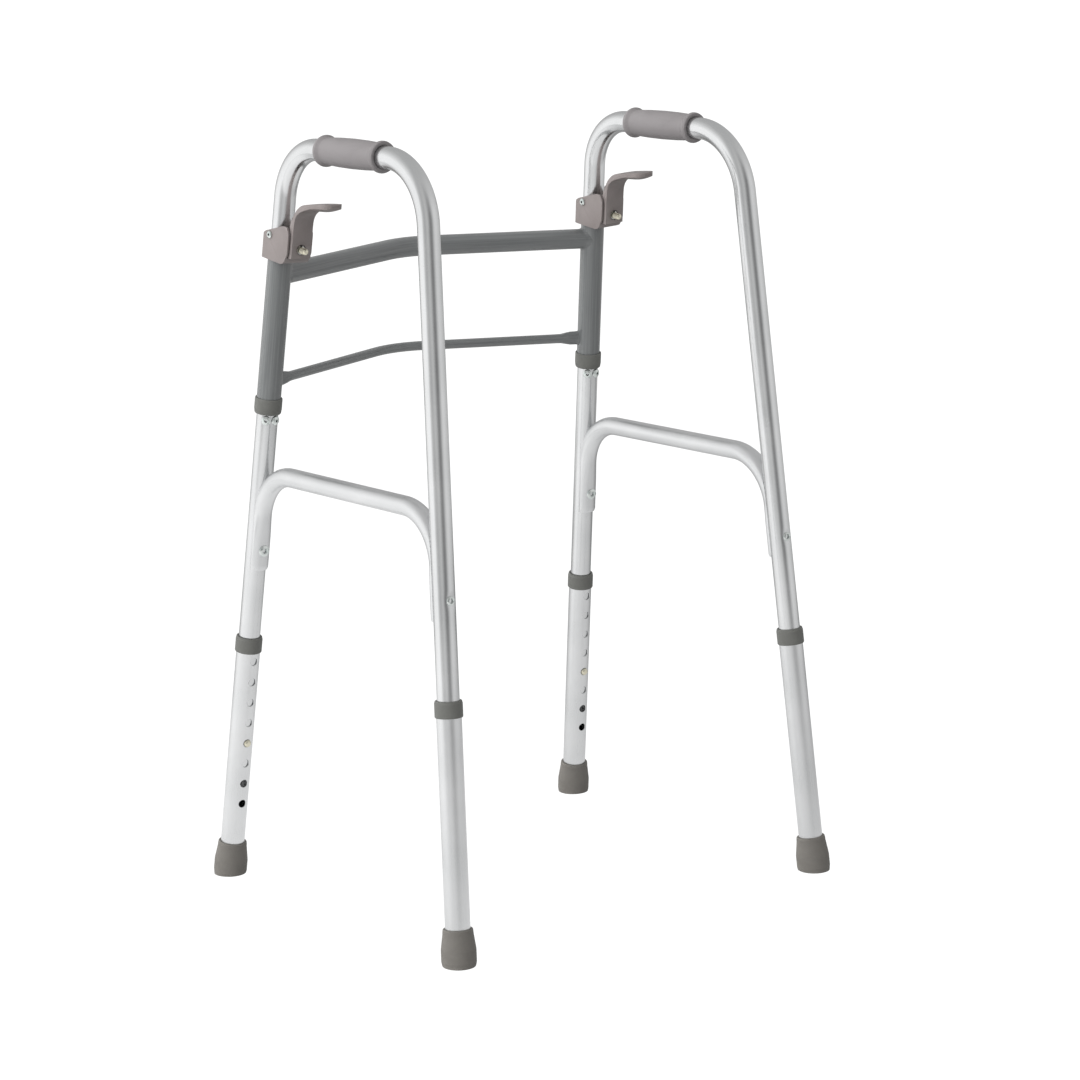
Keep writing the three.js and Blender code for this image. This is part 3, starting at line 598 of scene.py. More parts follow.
def extruded(outline, low, high, axes):
    """A prism. Axes 'yzx' puts the outline on y and z and its depth on x."""
    order = ["xyz".index(c) for c in axes]

    def at(values):
        point = [0.0, 0.0, 0.0]
        for axis, value in zip(order, values):
            point[axis] = value
        return point

    b = Build()
    b.skin_capped([b.ring([at((p, q, depth)) for p, q in outline]) for depth in (low, high)])
    return b.raw()


def box(x0, x1, y0, y1, z0, z1):
    return extruded([(x0, y0), (x1, y0), (x1, y1), (x0, y1)], z0, z1, "xyz")


def rounded_path(corners, radii, step, run):
    """Stations (point, tangent) along straight runs with rounded corners.

    step is the spacing in the bends, run the spacing in the straights.
    """
    corners = [Vector(p) for p in corners]
    out = []

    def straight(a, b):
        way = b - a
        count = max(1, int(way.length / run))
        for k in range(count + 1):
            out.append((a + way * (k / count), way.normalized()))

    here = corners[0]
    for before, corner, after, radius in zip(corners, corners[1:], corners[2:], radii):
        heading = (corner - before).normalized()
        leaving = (after - corner).normalized()
        bend = heading.angle(leaving)
        start = corner - heading * radius * math.tan(bend / 2)
        inward = (leaving - heading * heading.dot(leaving)).normalized()
        centre = start + inward * radius
        straight(here, start)
        count = max(3, int(bend * radius / step))
        for k in range(1, count + 1):
            angle = bend * k / count
            out.append((
                centre - inward * radius * math.cos(angle) + heading * radius * math.sin(angle),
                heading * math.cos(angle) + inward * math.sin(angle)))
        here = out[-1][0]
    straight(here, corners[-1])
    clean = [out[0]]
    for station in out[1:]:
        if (station[0] - clean[-1][0]).length > 1e-4:
            clean.append(station)
    return clean


def lengths(stations):
    """Distance of each station along its path."""
    out = [0.0]
    for a, b in zip(stations, stations[1:]):
        out.append(out[-1] + (b[0] - a[0]).length)
    return out


# ------------------------------------------------------------------ side frame tube
def swept_tube(stations, radius, wall, depth, segments=56):
    """A tube along a path in the plane x = 0, hollow to a depth at both ends."""
    along = lengths(stations)
    total = along[-1]
    # (distance from the end, radius), from the mouth's bottom to the outer wall
    mouth = [(depth, radius - wall), (0.35, radius - wall), (0.0, radius - wall + 0.3),
             (0.0, radius - 0.35), (0.35, radius)]
    point, tangent = stations[0]
    sections = [(point + tangent * inset, tangent, r, inset) for inset, r in mouth]
    sections += [(p, t, radius, s) for (p, t), s in zip(stations[1:-1], along[1:-1])]
    point, tangent = stations[-1]
    sections += [(point - tangent * inset, tangent, r, total - inset)
                 for inset, r in reversed(mouth)]

    b = Build()
    up = Vector((1, 0, 0))
    rings = []
    for point, tangent, r, s in sections:
        across = up.cross(tangent).normalized()
        points, straight = [], []
        for i in range(segments):
            a = 2 * math.pi * i / segments
            points.append(point + up * r * math.cos(a) + across * r * math.sin(a))
            straight.append((r * math.cos(a), r * math.sin(a), s))
        rings.append(b.ring(points, straight))
    b.skin(rings)
    for ring, (point, _, _, s) in ((rings[0], sections[0]), (rings[-1], sections[-1])):
        b.fan(ring, b.add(point, (0, 0, s)))
    return b


def press_dimple(build, centre, direction, radius, depth):
    """Presses a shallow dish into the tube round a rivet."""
    for point in build.points:
        offset = point - centre
        if offset.length < radius * 1.6 and offset.dot(direction) > -2.0:
            r = (offset - direction * offset.dot(direction)).length
            if r < radius:
                point -= direction * depth * (0.5 + 0.5 * math.cos(math.pi * r / radius))


def frame_tube():
    ends = {leg: leg_point(leg, BUTTON_Z[leg] - INNER_END_BELOW_BUTTON) for leg in LEG}
    corners = [ends["front"], leg_axis_point("front", HANDLE_Z),
               leg_axis_point("rear", HANDLE_Z), ends["rear"]]
    path = rounded_path(corners, HANDLE_BENDS, step=3.0, run=5.0)
    b = swept_tube(path, TUBE_R, TUBE_WALL, TUBE_MOUTH_DEPTH)
    back = (LEG["rear"].to_3x3() @ Vector((0, -1, 0))).normalized()
    press_dimple(b, leg_point("rear", BRACE_RIVET["rear"], -TUBE_R), back, radius=9.5, depth=0.9)
    return b


# ------------------------------------------------------------------ brace
def brace_corner(leg):
    a = LEAN[leg]
    z = (BRACE_Z + BRACE_OFFSET * math.sin(a)) / math.cos(a)
    return leg_point(leg, z, MID[leg] * BRACE_OFFSET)


def brace_ring(b, leg, point, tangent, pressed, s, end):
    """One section: pressed 0 is the tube, 1 the crescent round the leg.

    Points too near the leg are pushed off it. End, 0 to 1, shrinks the outermost section.
    """
    up = Vector((1, 0, 0))
    across = up.cross(tangent).normalized()
    if leg:
        to_leg = LEG[leg].inverted()
        away = MID[leg]
        facing = 1 if (to_leg.to_3x3() @ across).y * away > 0 else -1
    half_angle = (BRACE_PRESS_ANGLE - 3.0 * end) * DEG
    outer, inner = BRACE_PRESS_R - 1.1 * end, TUBE_R + 0.15
    clear = TUBE_R + 0.12
    points, straight = [], []
    for i in range(BRACE_SEGMENTS):
        a = 2 * math.pi * i / BRACE_SEGMENTS
        place = point + up * BRACE_R * math.sin(a) + across * BRACE_R * math.cos(a)
        if leg:
            local = to_leg @ place
            if pressed > 0:
                share = math.asin(math.sin(a)) / (math.pi / 2)
                round_end = math.sqrt(max(0.0, 1 - abs(share) ** 3.2))
                swell = min(1.0, max(0.0, math.cos(a) * facing) * 6)
                r = inner + (outer - inner) * round_end * swell
                angle = share * half_angle
                target = Vector((r * math.sin(angle), away * r * math.cos(angle), local.z))
                local = local.lerp(target, pressed)
            if abs(local.x) < clear:
                least = math.sqrt(clear ** 2 - local.x ** 2)
                if local.y * away < least:
                    local.y = away * least
            place = LEG[leg] @ local
        points.append(place)
        straight.append((BRACE_R * math.sin(a), BRACE_R * math.cos(a), s))
    return b.ring(points, straight)


def brace():
    ends = {leg: leg_point(leg, BRACE_END[leg], MID[leg] * BRACE_OFFSET) for leg in LEG}
    corners = [ends["front"], brace_corner("front"), brace_corner("rear"), ends["rear"]]
    stations = rounded_path(corners, BRACE_BENDS, step=2.5, run=3.0)
    along = lengths(stations)
    total = along[-1]
    leg_reach = 150.0       # farther than this from its end the brace is a plain tube
    b = Build()
    rings = []
    for (point, tangent), s in zip(stations, along):
        leg, from_end = ("front", s) if s < total / 2 else ("rear", total - s)
        pressed = 1.0 - smooth((from_end - BRACE_PRESSED) / BRACE_SWELL)
        end = max(0.0, 1 - from_end / 2.0)
        near = leg if from_end < leg_reach else None
        rings.append(brace_ring(b, near, point, tangent, pressed, s, end))
    b.skin(rings)
    b.faces += [tuple(rings[0]), tuple(rings[-1])]
    return b


# ------------------------------------------------------------------ turned pieces
# Profile points are (radius, z) or (radius, z, corner radius); see lathe.
def grip():
    g = GRIP_HALF
    end = [(TUBE_R + 0.15, g - 1.0, 0.4), (14.2, g, 1.2), (17.0, g, 1.6), (17.8, g - 2.6, 1.6),
           (17.8, g - 4.6, 1.6), (16.6, g - 6.6, 1.6), (15.3, g - 9.0, 2.5),
           (16.35, g * 0.45, 20.0)]
    lower = [(r, -z, corner) for r, z, corner in end]
    return lathe(lower + [(16.75, 0.0, 24.0)] + end[::-1], segments=72, corner_steps=6)


def sleeve():
    return lathe([
        (EXT_BORE_R, SLEEVE_BOTTOM, 0.2), (EXT_R, SLEEVE_BOTTOM, 0.4),
        (EXT_R, 620.0), (EXT_R, 660.0), (EXT_R, 700.0), (EXT_R, 740.0),
        (EXT_R, SLEEVE_TOP, 0.4), (EXT_BORE_R, SLEEVE_TOP, 0.2)])


def sleeve_collar():
    low, high, seat = COLLAR_BOTTOM, COLLAR_TOP, SLEEVE_BOTTOM - 0.35
    return lathe([
        (EXT_BORE_R, low + 0.4, 0.2), (14.4, low, 0.8), (15.3, low + 1.2, 1.4),
        (COLLAR_R, low + 5.5, 3.0), (COLLAR_R, high - 1.4, 0.5), (COLLAR_R - 0.25, high, 0.8),
        (COLLAR_BORE_R, high, 0.3), (COLLAR_BORE_R, seat), (EXT_BORE_R, seat)],
        segments=64, corner_steps=5)


def leg_collar(leg):
    high = RING_TOP[leg]
    low = high - RING_HEIGHT
    lip = EXT_BORE_R - 0.1
    return lathe([
        (COLLAR_BORE_R, low, 0.2), (RING_R - 0.5, low, 0.5), (RING_R, low + 0.9, 0.7),
        (RING_R, high - 3.0, 1.0), (RING_R - 0.55, high - 1.2, 1.2), (15.0, high, 1.0),
        (13.4, high, 0.4), (lip, high - 0.5, 0.2), (lip, high - 2.2),
        (COLLAR_BORE_R, high - 2.2)],
        segments=64, corner_steps=5)


def tip():
    """Leg tip, made longer than needed below the floor line."""
    return lathe([
        (0, -5.0), (TIP_R - 1.0, -5.0, 0.1), (TIP_R - 0.5, 1.6, 0.1), (TIP_R, 4.6, 0.8),
        (TIP_R, 8.0), (TIP_R, 18.0, 14.0), (TIP_TOP_R + 0.9, TIP_HEIGHT - 6.0, 1.6),
        (TIP_TOP_R + 0.75, TIP_HEIGHT - 3.2, 0.8), (TIP_TOP_R + 0.3, TIP_HEIGHT, 1.5),
        (EXT_R + 0.1, TIP_HEIGHT, 0.5), (EXT_R + 0.1, TIP_SOCKET_FLOOR), (0, TIP_SOCKET_FLOOR)],
        segments=72, corner_steps=5)


def levelled_tip(shape, matrix):
    """The tip in place, its underside brought level with the floor along the leg."""
    axis = (matrix.to_3x3() @ Vector((0, 0, 1))).normalized()
    b = Build()
    b.faces, b.straight = shape.faces, shape.straight
    for point in shape.points:
        place = matrix @ point
        if place.z < 0:
            place = place + axis * (-place.z / axis.z)
        b.points.append(place)
    return b


def stop_rivet():
    return lathe([
        (1.5, 11.4, 0.1), (5.3, 11.4, 0.1), (5.6, TUBE_R + 0.55, 0.5), (4.9, TUBE_R + 1.6, 1.2),
        (3.0, TUBE_R + 2.75, 1.0), (1.75, TUBE_R + 2.85, 0.4), (1.45, TUBE_R + 2.2, 0.2)], 40)


def latch_rivet():
    """Hollow rivet across the latch, with a flared head at each end."""
    head = [(1.5, 19.0, 0.15), (2.7, 19.15, 0.3), (4.3, 18.2, 0.8), (4.4, 16.9, 0.15)]
    shank = [(2.4, -16.9), (2.4, 16.9)]
    return lathe([(r, -z, corner) for r, z, corner in head] + shank + head[::-1], 40)


def through_rivet(back, head_r, front, tail_r, head_skirt, tail_skirt):
    """Rivet through a leg: its head lies on the back surface, its tail on the front one."""
    return lathe([
        (0, -front - 1.5), (tail_r * 0.55, -front - 1.5, 1.5), (tail_r, -front - 0.55, 0.6),
        (tail_r, -front + tail_skirt, 0.1), (2.3, -front + tail_skirt), (2.3, back - head_skirt),
        (head_r - 0.25, back - head_skirt, 0.1), (head_r, back + 0.55, 0.5),
        (head_r - 0.5, back + 1.25, 0.6), (head_r * 0.66, back + 2.05, 1.1),
        (3.0, back + 2.1, 0.4), (2.4, back + 1.3, 0.4), (2.2, back - 8.0), (0, back - 8.2)], 40)


def snap_button():
    return lathe([
        (0, 8.5), (4.8, 8.5, 0.2), (4.9, 9.5, 0.2), (BUTTON_R, 9.7), (BUTTON_R, 14.4, 0.3),
        (4.0, 15.6, 1.0), (3.0, 16.75, 1.4), (0, 17.1)], segments=40, corner_steps=5)


def lock_pin():
    """Pin with a flange, a groove for its clip and fine ridges near its rounded end."""
    profile = [
        (0, 11.3), (2.7, 11.3, 0.5), (PIN_R, 12.3, 0.4), (PIN_R, 17.15, 0.1), (5.8, 17.15, 0.2),
        (5.8, 18.25, 0.2), (PIN_R, 18.3, 0.1), (PIN_R, 38.2, 0.15), (2.9, 38.4, 0.1),
        (2.9, 39.6, 0.1), (PIN_R, 39.8, 0.2)]
    first_ridge, ridge_pitch, ridges = 41.4, 0.95, 7
    for i in range(ridges):
        z = first_ridge + ridge_pitch * i
        profile += [(PIN_R, z, 0.1), (PIN_R - 0.42, z + 0.35, 0.1), (PIN_R, z + 0.7, 0.1)]
    profile += [(PIN_R, 48.4, 0.6), (3.1, 50.0, 1.0), (1.9, 51.1, 1.2), (0, 51.25)]
    return lathe(profile, segments=40, corner_steps=3)


# ------------------------------------------------------------------ pin clip and spring
def pin_clip():
    """E-clip: a thin ring with a mouth."""
    mouth, steps = 42.0, 32             # mouth in degrees
    low, high = 38.6, 39.4
    b = Build()
    rings = []
    for k in range(steps + 1):
        a = (90 + mouth / 2 + (360 - mouth) * k / steps) * DEG
        notch = 0.5 * (0.5 + 0.5 * math.cos(3 * (a - math.pi / 2)))
        inner, outer = 3.25 + notch * 0.9, 5.1 - 0.25 * notch
        section = [(inner, low), (outer, low), (outer, high), (inner, high)]
        rings.append(b.ring([(r * math.cos(a), r * math.sin(a), z) for r, z in section]))
    b.skin_capped(rings)
    return b


def lock_spring():
    """Round-wire coil."""
    coil_r, wire_r, wire_segments = 4.95, 0.5, 10
    low, high = 19.1, 26.2
    turns, steps_per_turn = 3.5, 28
    steps = int(turns * steps_per_turn)
    b = Build()
    rings = []
    for i in range(steps + 1):
        a = 2 * math.pi * i / steps_per_turn
        middle = low + (high - low) * i / steps
        section = arc(coil_r, middle, wire_r, 0, 360, wire_segments)[:-1]
        rings.append(b.ring([(r * math.cos(a), r * math.sin(a), z) for r, z in section]))
    b.skin_capped(rings)
    return b


# ------------------------------------------------------------------ leg extension
def leg_extension(leg):
    """Tube with a row of round holes, facing the middle of the side frame.

    Each hole lies in a square patch of a true cylinder; rings ease the square into the hole.
    """
    strip = 0.80                # half width of the holed strip, radians
    cells, columns = 8, 34      # cells on each side of a patch; columns round the rest
    foot_rows = 3
    rim_r, rim_depth = HOLE_R + 0.3, 0.28
    bottom, top = EXT_FOOT, RING_TOP[leg] - 2.6
    holes = [hole_z(leg, i) for i in reversed(range(HOLE_COUNT))]
    holes_low = holes[0] - HOLE_PITCH / 2
    rows = [bottom + (holes_low - bottom) * i / foot_rows for i in range(foot_rows)]
    rows += [holes_low + HOLE_PITCH * j / cells for j in range(cells * HOLE_COUNT + 1)]
    last = len(rows) - 1
    rows.append(top)
    facing = MID[leg]
    b = Build()

    def at(r, angle, z):
        return (r * math.sin(angle), facing * r * math.cos(angle), z)

    def wall(r, flip):
        """One cylinder: its rows of points and the rims of its holes."""
        def face(*corners):
            b.faces.append(corners[::-1] if flip else corners)

        angles = [-strip + 2 * strip * i / cells for i in range(cells + 1)]
        angles += [strip + (2 * math.pi - 2 * strip) * i / columns for i in range(1, columns)]
        n = len(angles)
        grid = [[b.add(at(r, angle, z)) for angle in angles] for z in rows]
        for j in range(len(rows) - 1):
            holed = foot_rows <= j < last
            for i in range(cells if holed else 0, n):
                k = (i + 1) % n
                face(grid[j][i], grid[j][k], grid[j + 1][k], grid[j + 1][i])
        rims = []
        for h, hole in enumerate(holes):
            low = foot_rows + h * cells
            high = low + cells
            ring = [grid[low][i] for i in range(cells)]
            ring += [grid[low + j][cells] for j in range(cells)]
            ring += [grid[high][cells - i] for i in range(cells)]
            ring += [grid[high - j][0] for j in range(cells)]
            square = [b.straight[p] for p in ring]
            for t in (0.35, 0.68, 1.0):
                inner = []
                for corner in square:
                    angle = math.atan2(corner.x, facing * corner.y)
                    drop = corner.z - hole
                    around = math.atan2(drop, angle * r)
                    rim_angle = math.asin(rim_r * math.cos(around) / r)
                    rim_drop = rim_r * math.sin(around)
                    inner.append(b.add(at(r, angle * (1 - t) + rim_angle * t,
                                          drop * (1 - t) + rim_drop * t + hole)))
                # the square is kept, so every ring is eased from the square's own corners
                square = [b.straight[p] for p in inner] if t < 0 else square
                for i in range(len(ring)):
                    k = (i + 1) % len(ring)
                    face(ring[i], ring[k], inner[k], inner[i])
                ring = inner
            rims.append(ring)
        return grid, rims

    outer_grid, outer_rims = wall(EXT_R, flip=False)
    inner_grid, inner_rims = wall(EXT_BORE_R, flip=True)
    for outer, inner, hole in zip(outer_rims, inner_rims, holes):
        middle = []
        for radial in (EXT_R - rim_depth, EXT_BORE_R + rim_depth):
            ring = []
            for index in outer:
                rim = b.straight[index]
                around = math.atan2(rim.z - hole, rim.x)
                x = HOLE_R * math.cos(around)
                y = facing * math.sqrt(radial ** 2 - x * x)
                ring.append(b.add((x, y, hole + HOLE_R * math.sin(around))))
            middle.append(ring)
        b.skin([outer, *middle, inner])
    for j in (0, -1):
        b.bridge(outer_grid[j], inner_grid[j])
    return b


# ------------------------------------------------------------------ latch housing and lever
def latch_housing():
    # side outline: (y, z, corner radius)
    cheek = [
        (16.8, 750.6, 1.6), (16.8, 776.5, 3.0), (8.0, 782.4, 4.0), (-24.5, 794.0, 2.0),
        (-32.0, 794.0, 5.0), (-36.4, 787.0, 5.0), (-36.4, 764.0, 7.0), (-31.0, 753.0, 6.0),
        (-25.0, 750.6, 4.0)]
    body = extruded(fillet(cheek, closed=True, steps=6), -LATCH_HALF_W, LATCH_HALF_W, "yzx")
    # seen from above: round corners at the front
    corner_x, corner_y, corner_r = LATCH_HALF_W - 6, 10.8, 6.0
    plan = [(-LATCH_HALF_W - 0.01, -60), (LATCH_HALF_W + 0.01, -60)]
    plan += arc(corner_x, corner_y, corner_r, 0, 90, 10)
    plan += arc(-corner_x, corner_y, corner_r, 90, 180, 10)
    body = boolean(body, extruded(plan, 740, 810, "xyz"), "INTERSECT")
    sleeve_r, tube_r = EXT_R + 0.3, TUBE_R + 0.2
    bore = [(0, 745), (sleeve_r, 745), (sleeve_r, 776.0), (tube_r, 776.2), (tube_r, 812), (0, 812)]
    body = boolean(body, lathe(bore, 64).raw())
    # cuts between the cheeks: (y0, y1, z0, z1)
    for cut in ((-27, -16.8, 762, 812), (-60, -29.6, 758.7, 812), (-30.5, -12, 783, 812)):
        body = boolean(body, box(-CHEEK_IN, CHEEK_IN, *cut))
    pin_hole = cylinder(PIN_R + 0.3, 0, 45, 32)
    body = boolean(body, pin_hole.raw(move(z=PIN_Z) @ ALONG_BACK))
    rivet_hole = cylinder(2.5, -30, 30, 24)
    body = boolean(body, rivet_hole.raw(move(z=PIVOT_RIVET_Z) @ ALONG_X))
    return bevelled(body, width=0.7, segments=3, angle=32)


def release_lever():
    """An upright plate behind the housing that curves back into a handle."""
    # side outlines of the handle: (y, z)
    under = [
        (-40.9, 803), (-43.0, 808.4), (-47, 813), (-52, 816), (-58, 817.8), (-66, 819.2),
        (-76, 820.8), (-86, 822.6), (-94, 825.2), (-98.6, 828.4), (-100.6, 832.0)]
    over = [
        (-99.2, 834.0), (-94, 833.8), (-84, 832.0), (-74, 829.8), (-64, 827.4), (-56, 825),
        (-49, 821.4), (-43, 816), (-38.6, 809.4), (-36.1, 802.4), (-35.3, 795), (-35.3, 759.2)]
    softenings = 3
    outline = soften([(LEVER_BACK, 759.2), (LEVER_BACK, 797)] + under + over, softenings)
    under_count = (len(under) + 1) * 2 ** softenings    # outline points on the under side
    slices = 12

    def crowned(x, y, z, index):
        """Hollows the handle's under side and rounds off its top toward the sides."""
        rise = smooth((-y - 50.0) / 24.0) * (x / LEVER_HALF_W) ** 2
        end = smooth((-y - 88.0) / 12.0)
        return (x, y, z + 3.6 * rise * (1 - 0.6 * end) if index < under_count else z - 0.7 * rise)

    b = Build()
    rings = []
    for k in range(slices + 1):
        x = -LEVER_HALF_W + 2 * LEVER_HALF_W * k / slices
        rings.append(b.ring([crowned(x, y, z, i) for i, (y, z) in enumerate(outline)]))
    b.skin_capped(rings)
    body = b.raw()

    # a flange along each side, toward the front: (y, z, corner radius)
    flange = [(-36.0, 759.2), (-31.4, 759.2, 1.5), (-30.6, 764.0, 3.0), (-30.6, 782, 8.0),
              (-33.0, 796, 8.0), (-36, 806)]
    flange = fillet(flange, closed=True, steps=5)
    for x in (-LEVER_HALF_W, LEVER_HALF_W - 2):
        body = boolean(body, extruded(flange, x, x + 2, "yzx"), "UNION")

    # seen from above: the handle's end is rounded
    end_r, end_y = 12.9, -87.7
    plan = arc(LEVER_HALF_W - end_r, end_y, end_r, -90, 0, 16)
    plan += [(LEVER_HALF_W + 0.01, -20), (-LEVER_HALF_W - 0.01, -20)]
    plan += arc(-LEVER_HALF_W + end_r, end_y, end_r, 180, 270, 16)
    body = boolean(body, extruded(plan, 740, 850, "xyz"), "INTERSECT")

    # upright slot for the pin, with a round recess behind it
    slot = extruded(arc(0, 1.0, 4.4, 0, 180, 16) + arc(0, -1.0, 4.4, 180, 360, 16), 0, 12, "xyz")
    slot.transform(move(0, -33, PIN_Z + 0.3) @ ALONG_BACK)
    body = boolean(body, slot)
    recess = cylinder(6.2, 0, 20, 40).raw(move(0, -38.2, PIN_Z + 0.3) @ ALONG_BACK)
    return bevelled(boolean(body, recess), width=0.9, segments=3, angle=34)


def button_leaf(leg):
    """A strip folded into a V: one arm behind the button, the other against the tube."""
    # (distance toward the middle of the side frame, height above the button, corner radius)
    line = [(8.1, -7), (8.1, 8, 6.0), (1.6, 36, 1.5), (-1.6, 36, 1.5), (-9.9, 4), (-9.1, 3.8),
            (-1.0, 35.2, 0.8), (1.0, 35.2, 0.8), (7.3, 7.8, 6.0), (7.3, -7)]
    placed = [(MID[leg] * p[0], BUTTON_Z[leg] + p[1], *p[2:]) for p in line]
    strip = extruded(fillet(placed, closed=True), -3.2, 3.2, "yzx")
    return bevelled(strip, width=0.12, segments=2, angle=40)


# ------------------------------------------------------------------ crossbars
def bar_stations(bar):
    """A bar's path from right to left; its corner is moved until the bend's middle fits."""
    ends = [SIDE[s] @ leg_axis_point("front", bar["end_z"]) for s in (1, -1)]
    y, z = bar["middle_y"], bar["middle_z"]
    for _ in range(5):
        corner = Vector((0, FRONT_FOOT_Y + y, z))
        stations = rounded_path([ends[0], corner, ends[1]], [BAR_BEND_R], step=4.0, run=6.0)
        middle = min(stations, key=lambda station: abs(station[0].x))[0]
        y += bar["middle_y"] - (middle.y - FRONT_FOOT_Y)
        z += bar["middle_z"] - middle.z
    return stations


def onto_sleeve(point, direction, side, radius):
    """Moves a point along a direction until it is that far from the sleeve's axis."""
    matrix = SIDE[side] @ LEG["front"]
    axis = (matrix.to_3x3() @ Vector((0, 0, 1))).normalized()
    offset = point - matrix @ Vector((0, 0, 0))
    offset -= axis * offset.dot(axis)
    way = direction - axis * direction.dot(axis)
    a, b, c = way.dot(way), 2 * offset.dot(way), offset.dot(offset) - radius * radius
    root = math.sqrt(max(0.0, b * b - 4 * a * c))
    return point + direction * ((-b + root) / (2 * a))


def crossbar(bar, section, weld):
    """A bar fitted to both sleeves, with welds of a given thickness.

    section(distance from the sleeve's wall) gives its half height and half depth.
    """
    stations = bar_stations(bar)
    along = lengths(stations)
    total = along[-1]
    up = stations[0][1].cross(stations[-1][1]).normalized()
    b = Build()

    def ring(station, s, side=0, radius=0.0, grow=0.0):
        """A section at length s; side 1 or -1 fits it round that side's sleeve."""
        point, tangent = station
        across = up.cross(tangent).normalized()
        height, depth = section(min(s, total - s) - EXT_R)
        # flattened sections are squarer than an ellipse
        height_power, depth_power = (0.55, 0.8) if height > depth * 1.3 else (1.0, 1.0)
        points, straight = [], []
        for i in range(BAR_SEGMENTS):
            a = 2 * math.pi * i / BAR_SEGMENTS
            x = math.copysign(abs(math.cos(a)) ** height_power, math.cos(a)) * height
            y = math.copysign(abs(math.sin(a)) ** depth_power, math.sin(a)) * depth
            size = 1 + grow / math.hypot(x, y)
            place = point + up * x * size + across * y * size
            if side:
                place = onto_sleeve(place, tangent * side, side, radius)
            points.append(place)
            straight.append((x, y, s))
        return b.ring(points, straight)

    rings = []
    for step, share in WELD_STEPS:
        radius = EXT_R + step
        rings.append(ring(stations[0], radius, 1, radius, weld * share))
    for station, s in zip(stations, along):
        if min(s, total - s) > EXT_R + 7.5:
            rings.append(ring(station, s))
    for step, share in reversed(WELD_STEPS):
        radius = EXT_R + step
        rings.append(ring(stations[-1], total - radius, -1, radius, weld * share))
    b.skin_capped(rings)
    return b


def upper_section(distance):
    return UPPER_BAR["radius"], UPPER_BAR["radius"]


def lower_section(distance):
    """Flattened at the sleeve, round farther along."""
    t = smooth((distance - 8.0) / 17.0)
    return tuple(flat + (LOWER_BAR["radius"] - flat) * t for flat in LOWER_FLAT)


# ------------------------------------------------------------------ assembly
def piece(name, shape, matrix, node, sharp=38.0, between=None):
    """Makes a shape the visible stand-in for a CAD node, on its body, in its material slot.

    between = (body, start, end): when given, the piece is not attached to a body but keeps its
    place baked into its mesh; body, start and end are not used.
    """
    if isinstance(shape, Build):
        me = shape.mesh(name, matrix, sharp)
    else:
        me = placed_mesh(shape, name, matrix, sharp)
    obj = new_object(name, me)
    me.materials.clear()
    satin = node.endswith(("leg_extension", "brace"))
    me.materials.append(material(SLOT[node], satin=satin))
    if between:
        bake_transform(obj)
    else:
        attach(obj, BODY[node])
    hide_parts(node)


SHAPES = {
    "tube": frame_tube(), "grip": grip(), "brace": brace(),
    "brace_rivet": {
        "front": through_rivet(back=BRACE_PRESS_R, head_r=6.8, front=TUBE_R, tail_r=4.4,
                               head_skirt=2.0, tail_skirt=0.9),
        "rear": through_rivet(back=TUBE_R - 0.6, head_r=5.4, front=BRACE_PRESS_R, tail_r=4.4,
                              head_skirt=0.7, tail_skirt=0.9)},
    "stop_rivet": stop_rivet(), "housing": latch_housing(), "lever": release_lever(),
    "latch_rivet": latch_rivet(), "pin": lock_pin(), "clip": pin_clip(),
    "spring": lock_spring(), "sleeve": sleeve(), "sleeve_collar": sleeve_collar(),
    "extension": {leg: leg_extension(leg) for leg in LEG},
    "leg_collar": {leg: leg_collar(leg) for leg in LEG},
    "button": snap_button(), "leaf": {leg: button_leaf(leg) for leg in LEG}, "tip": tip(),
}


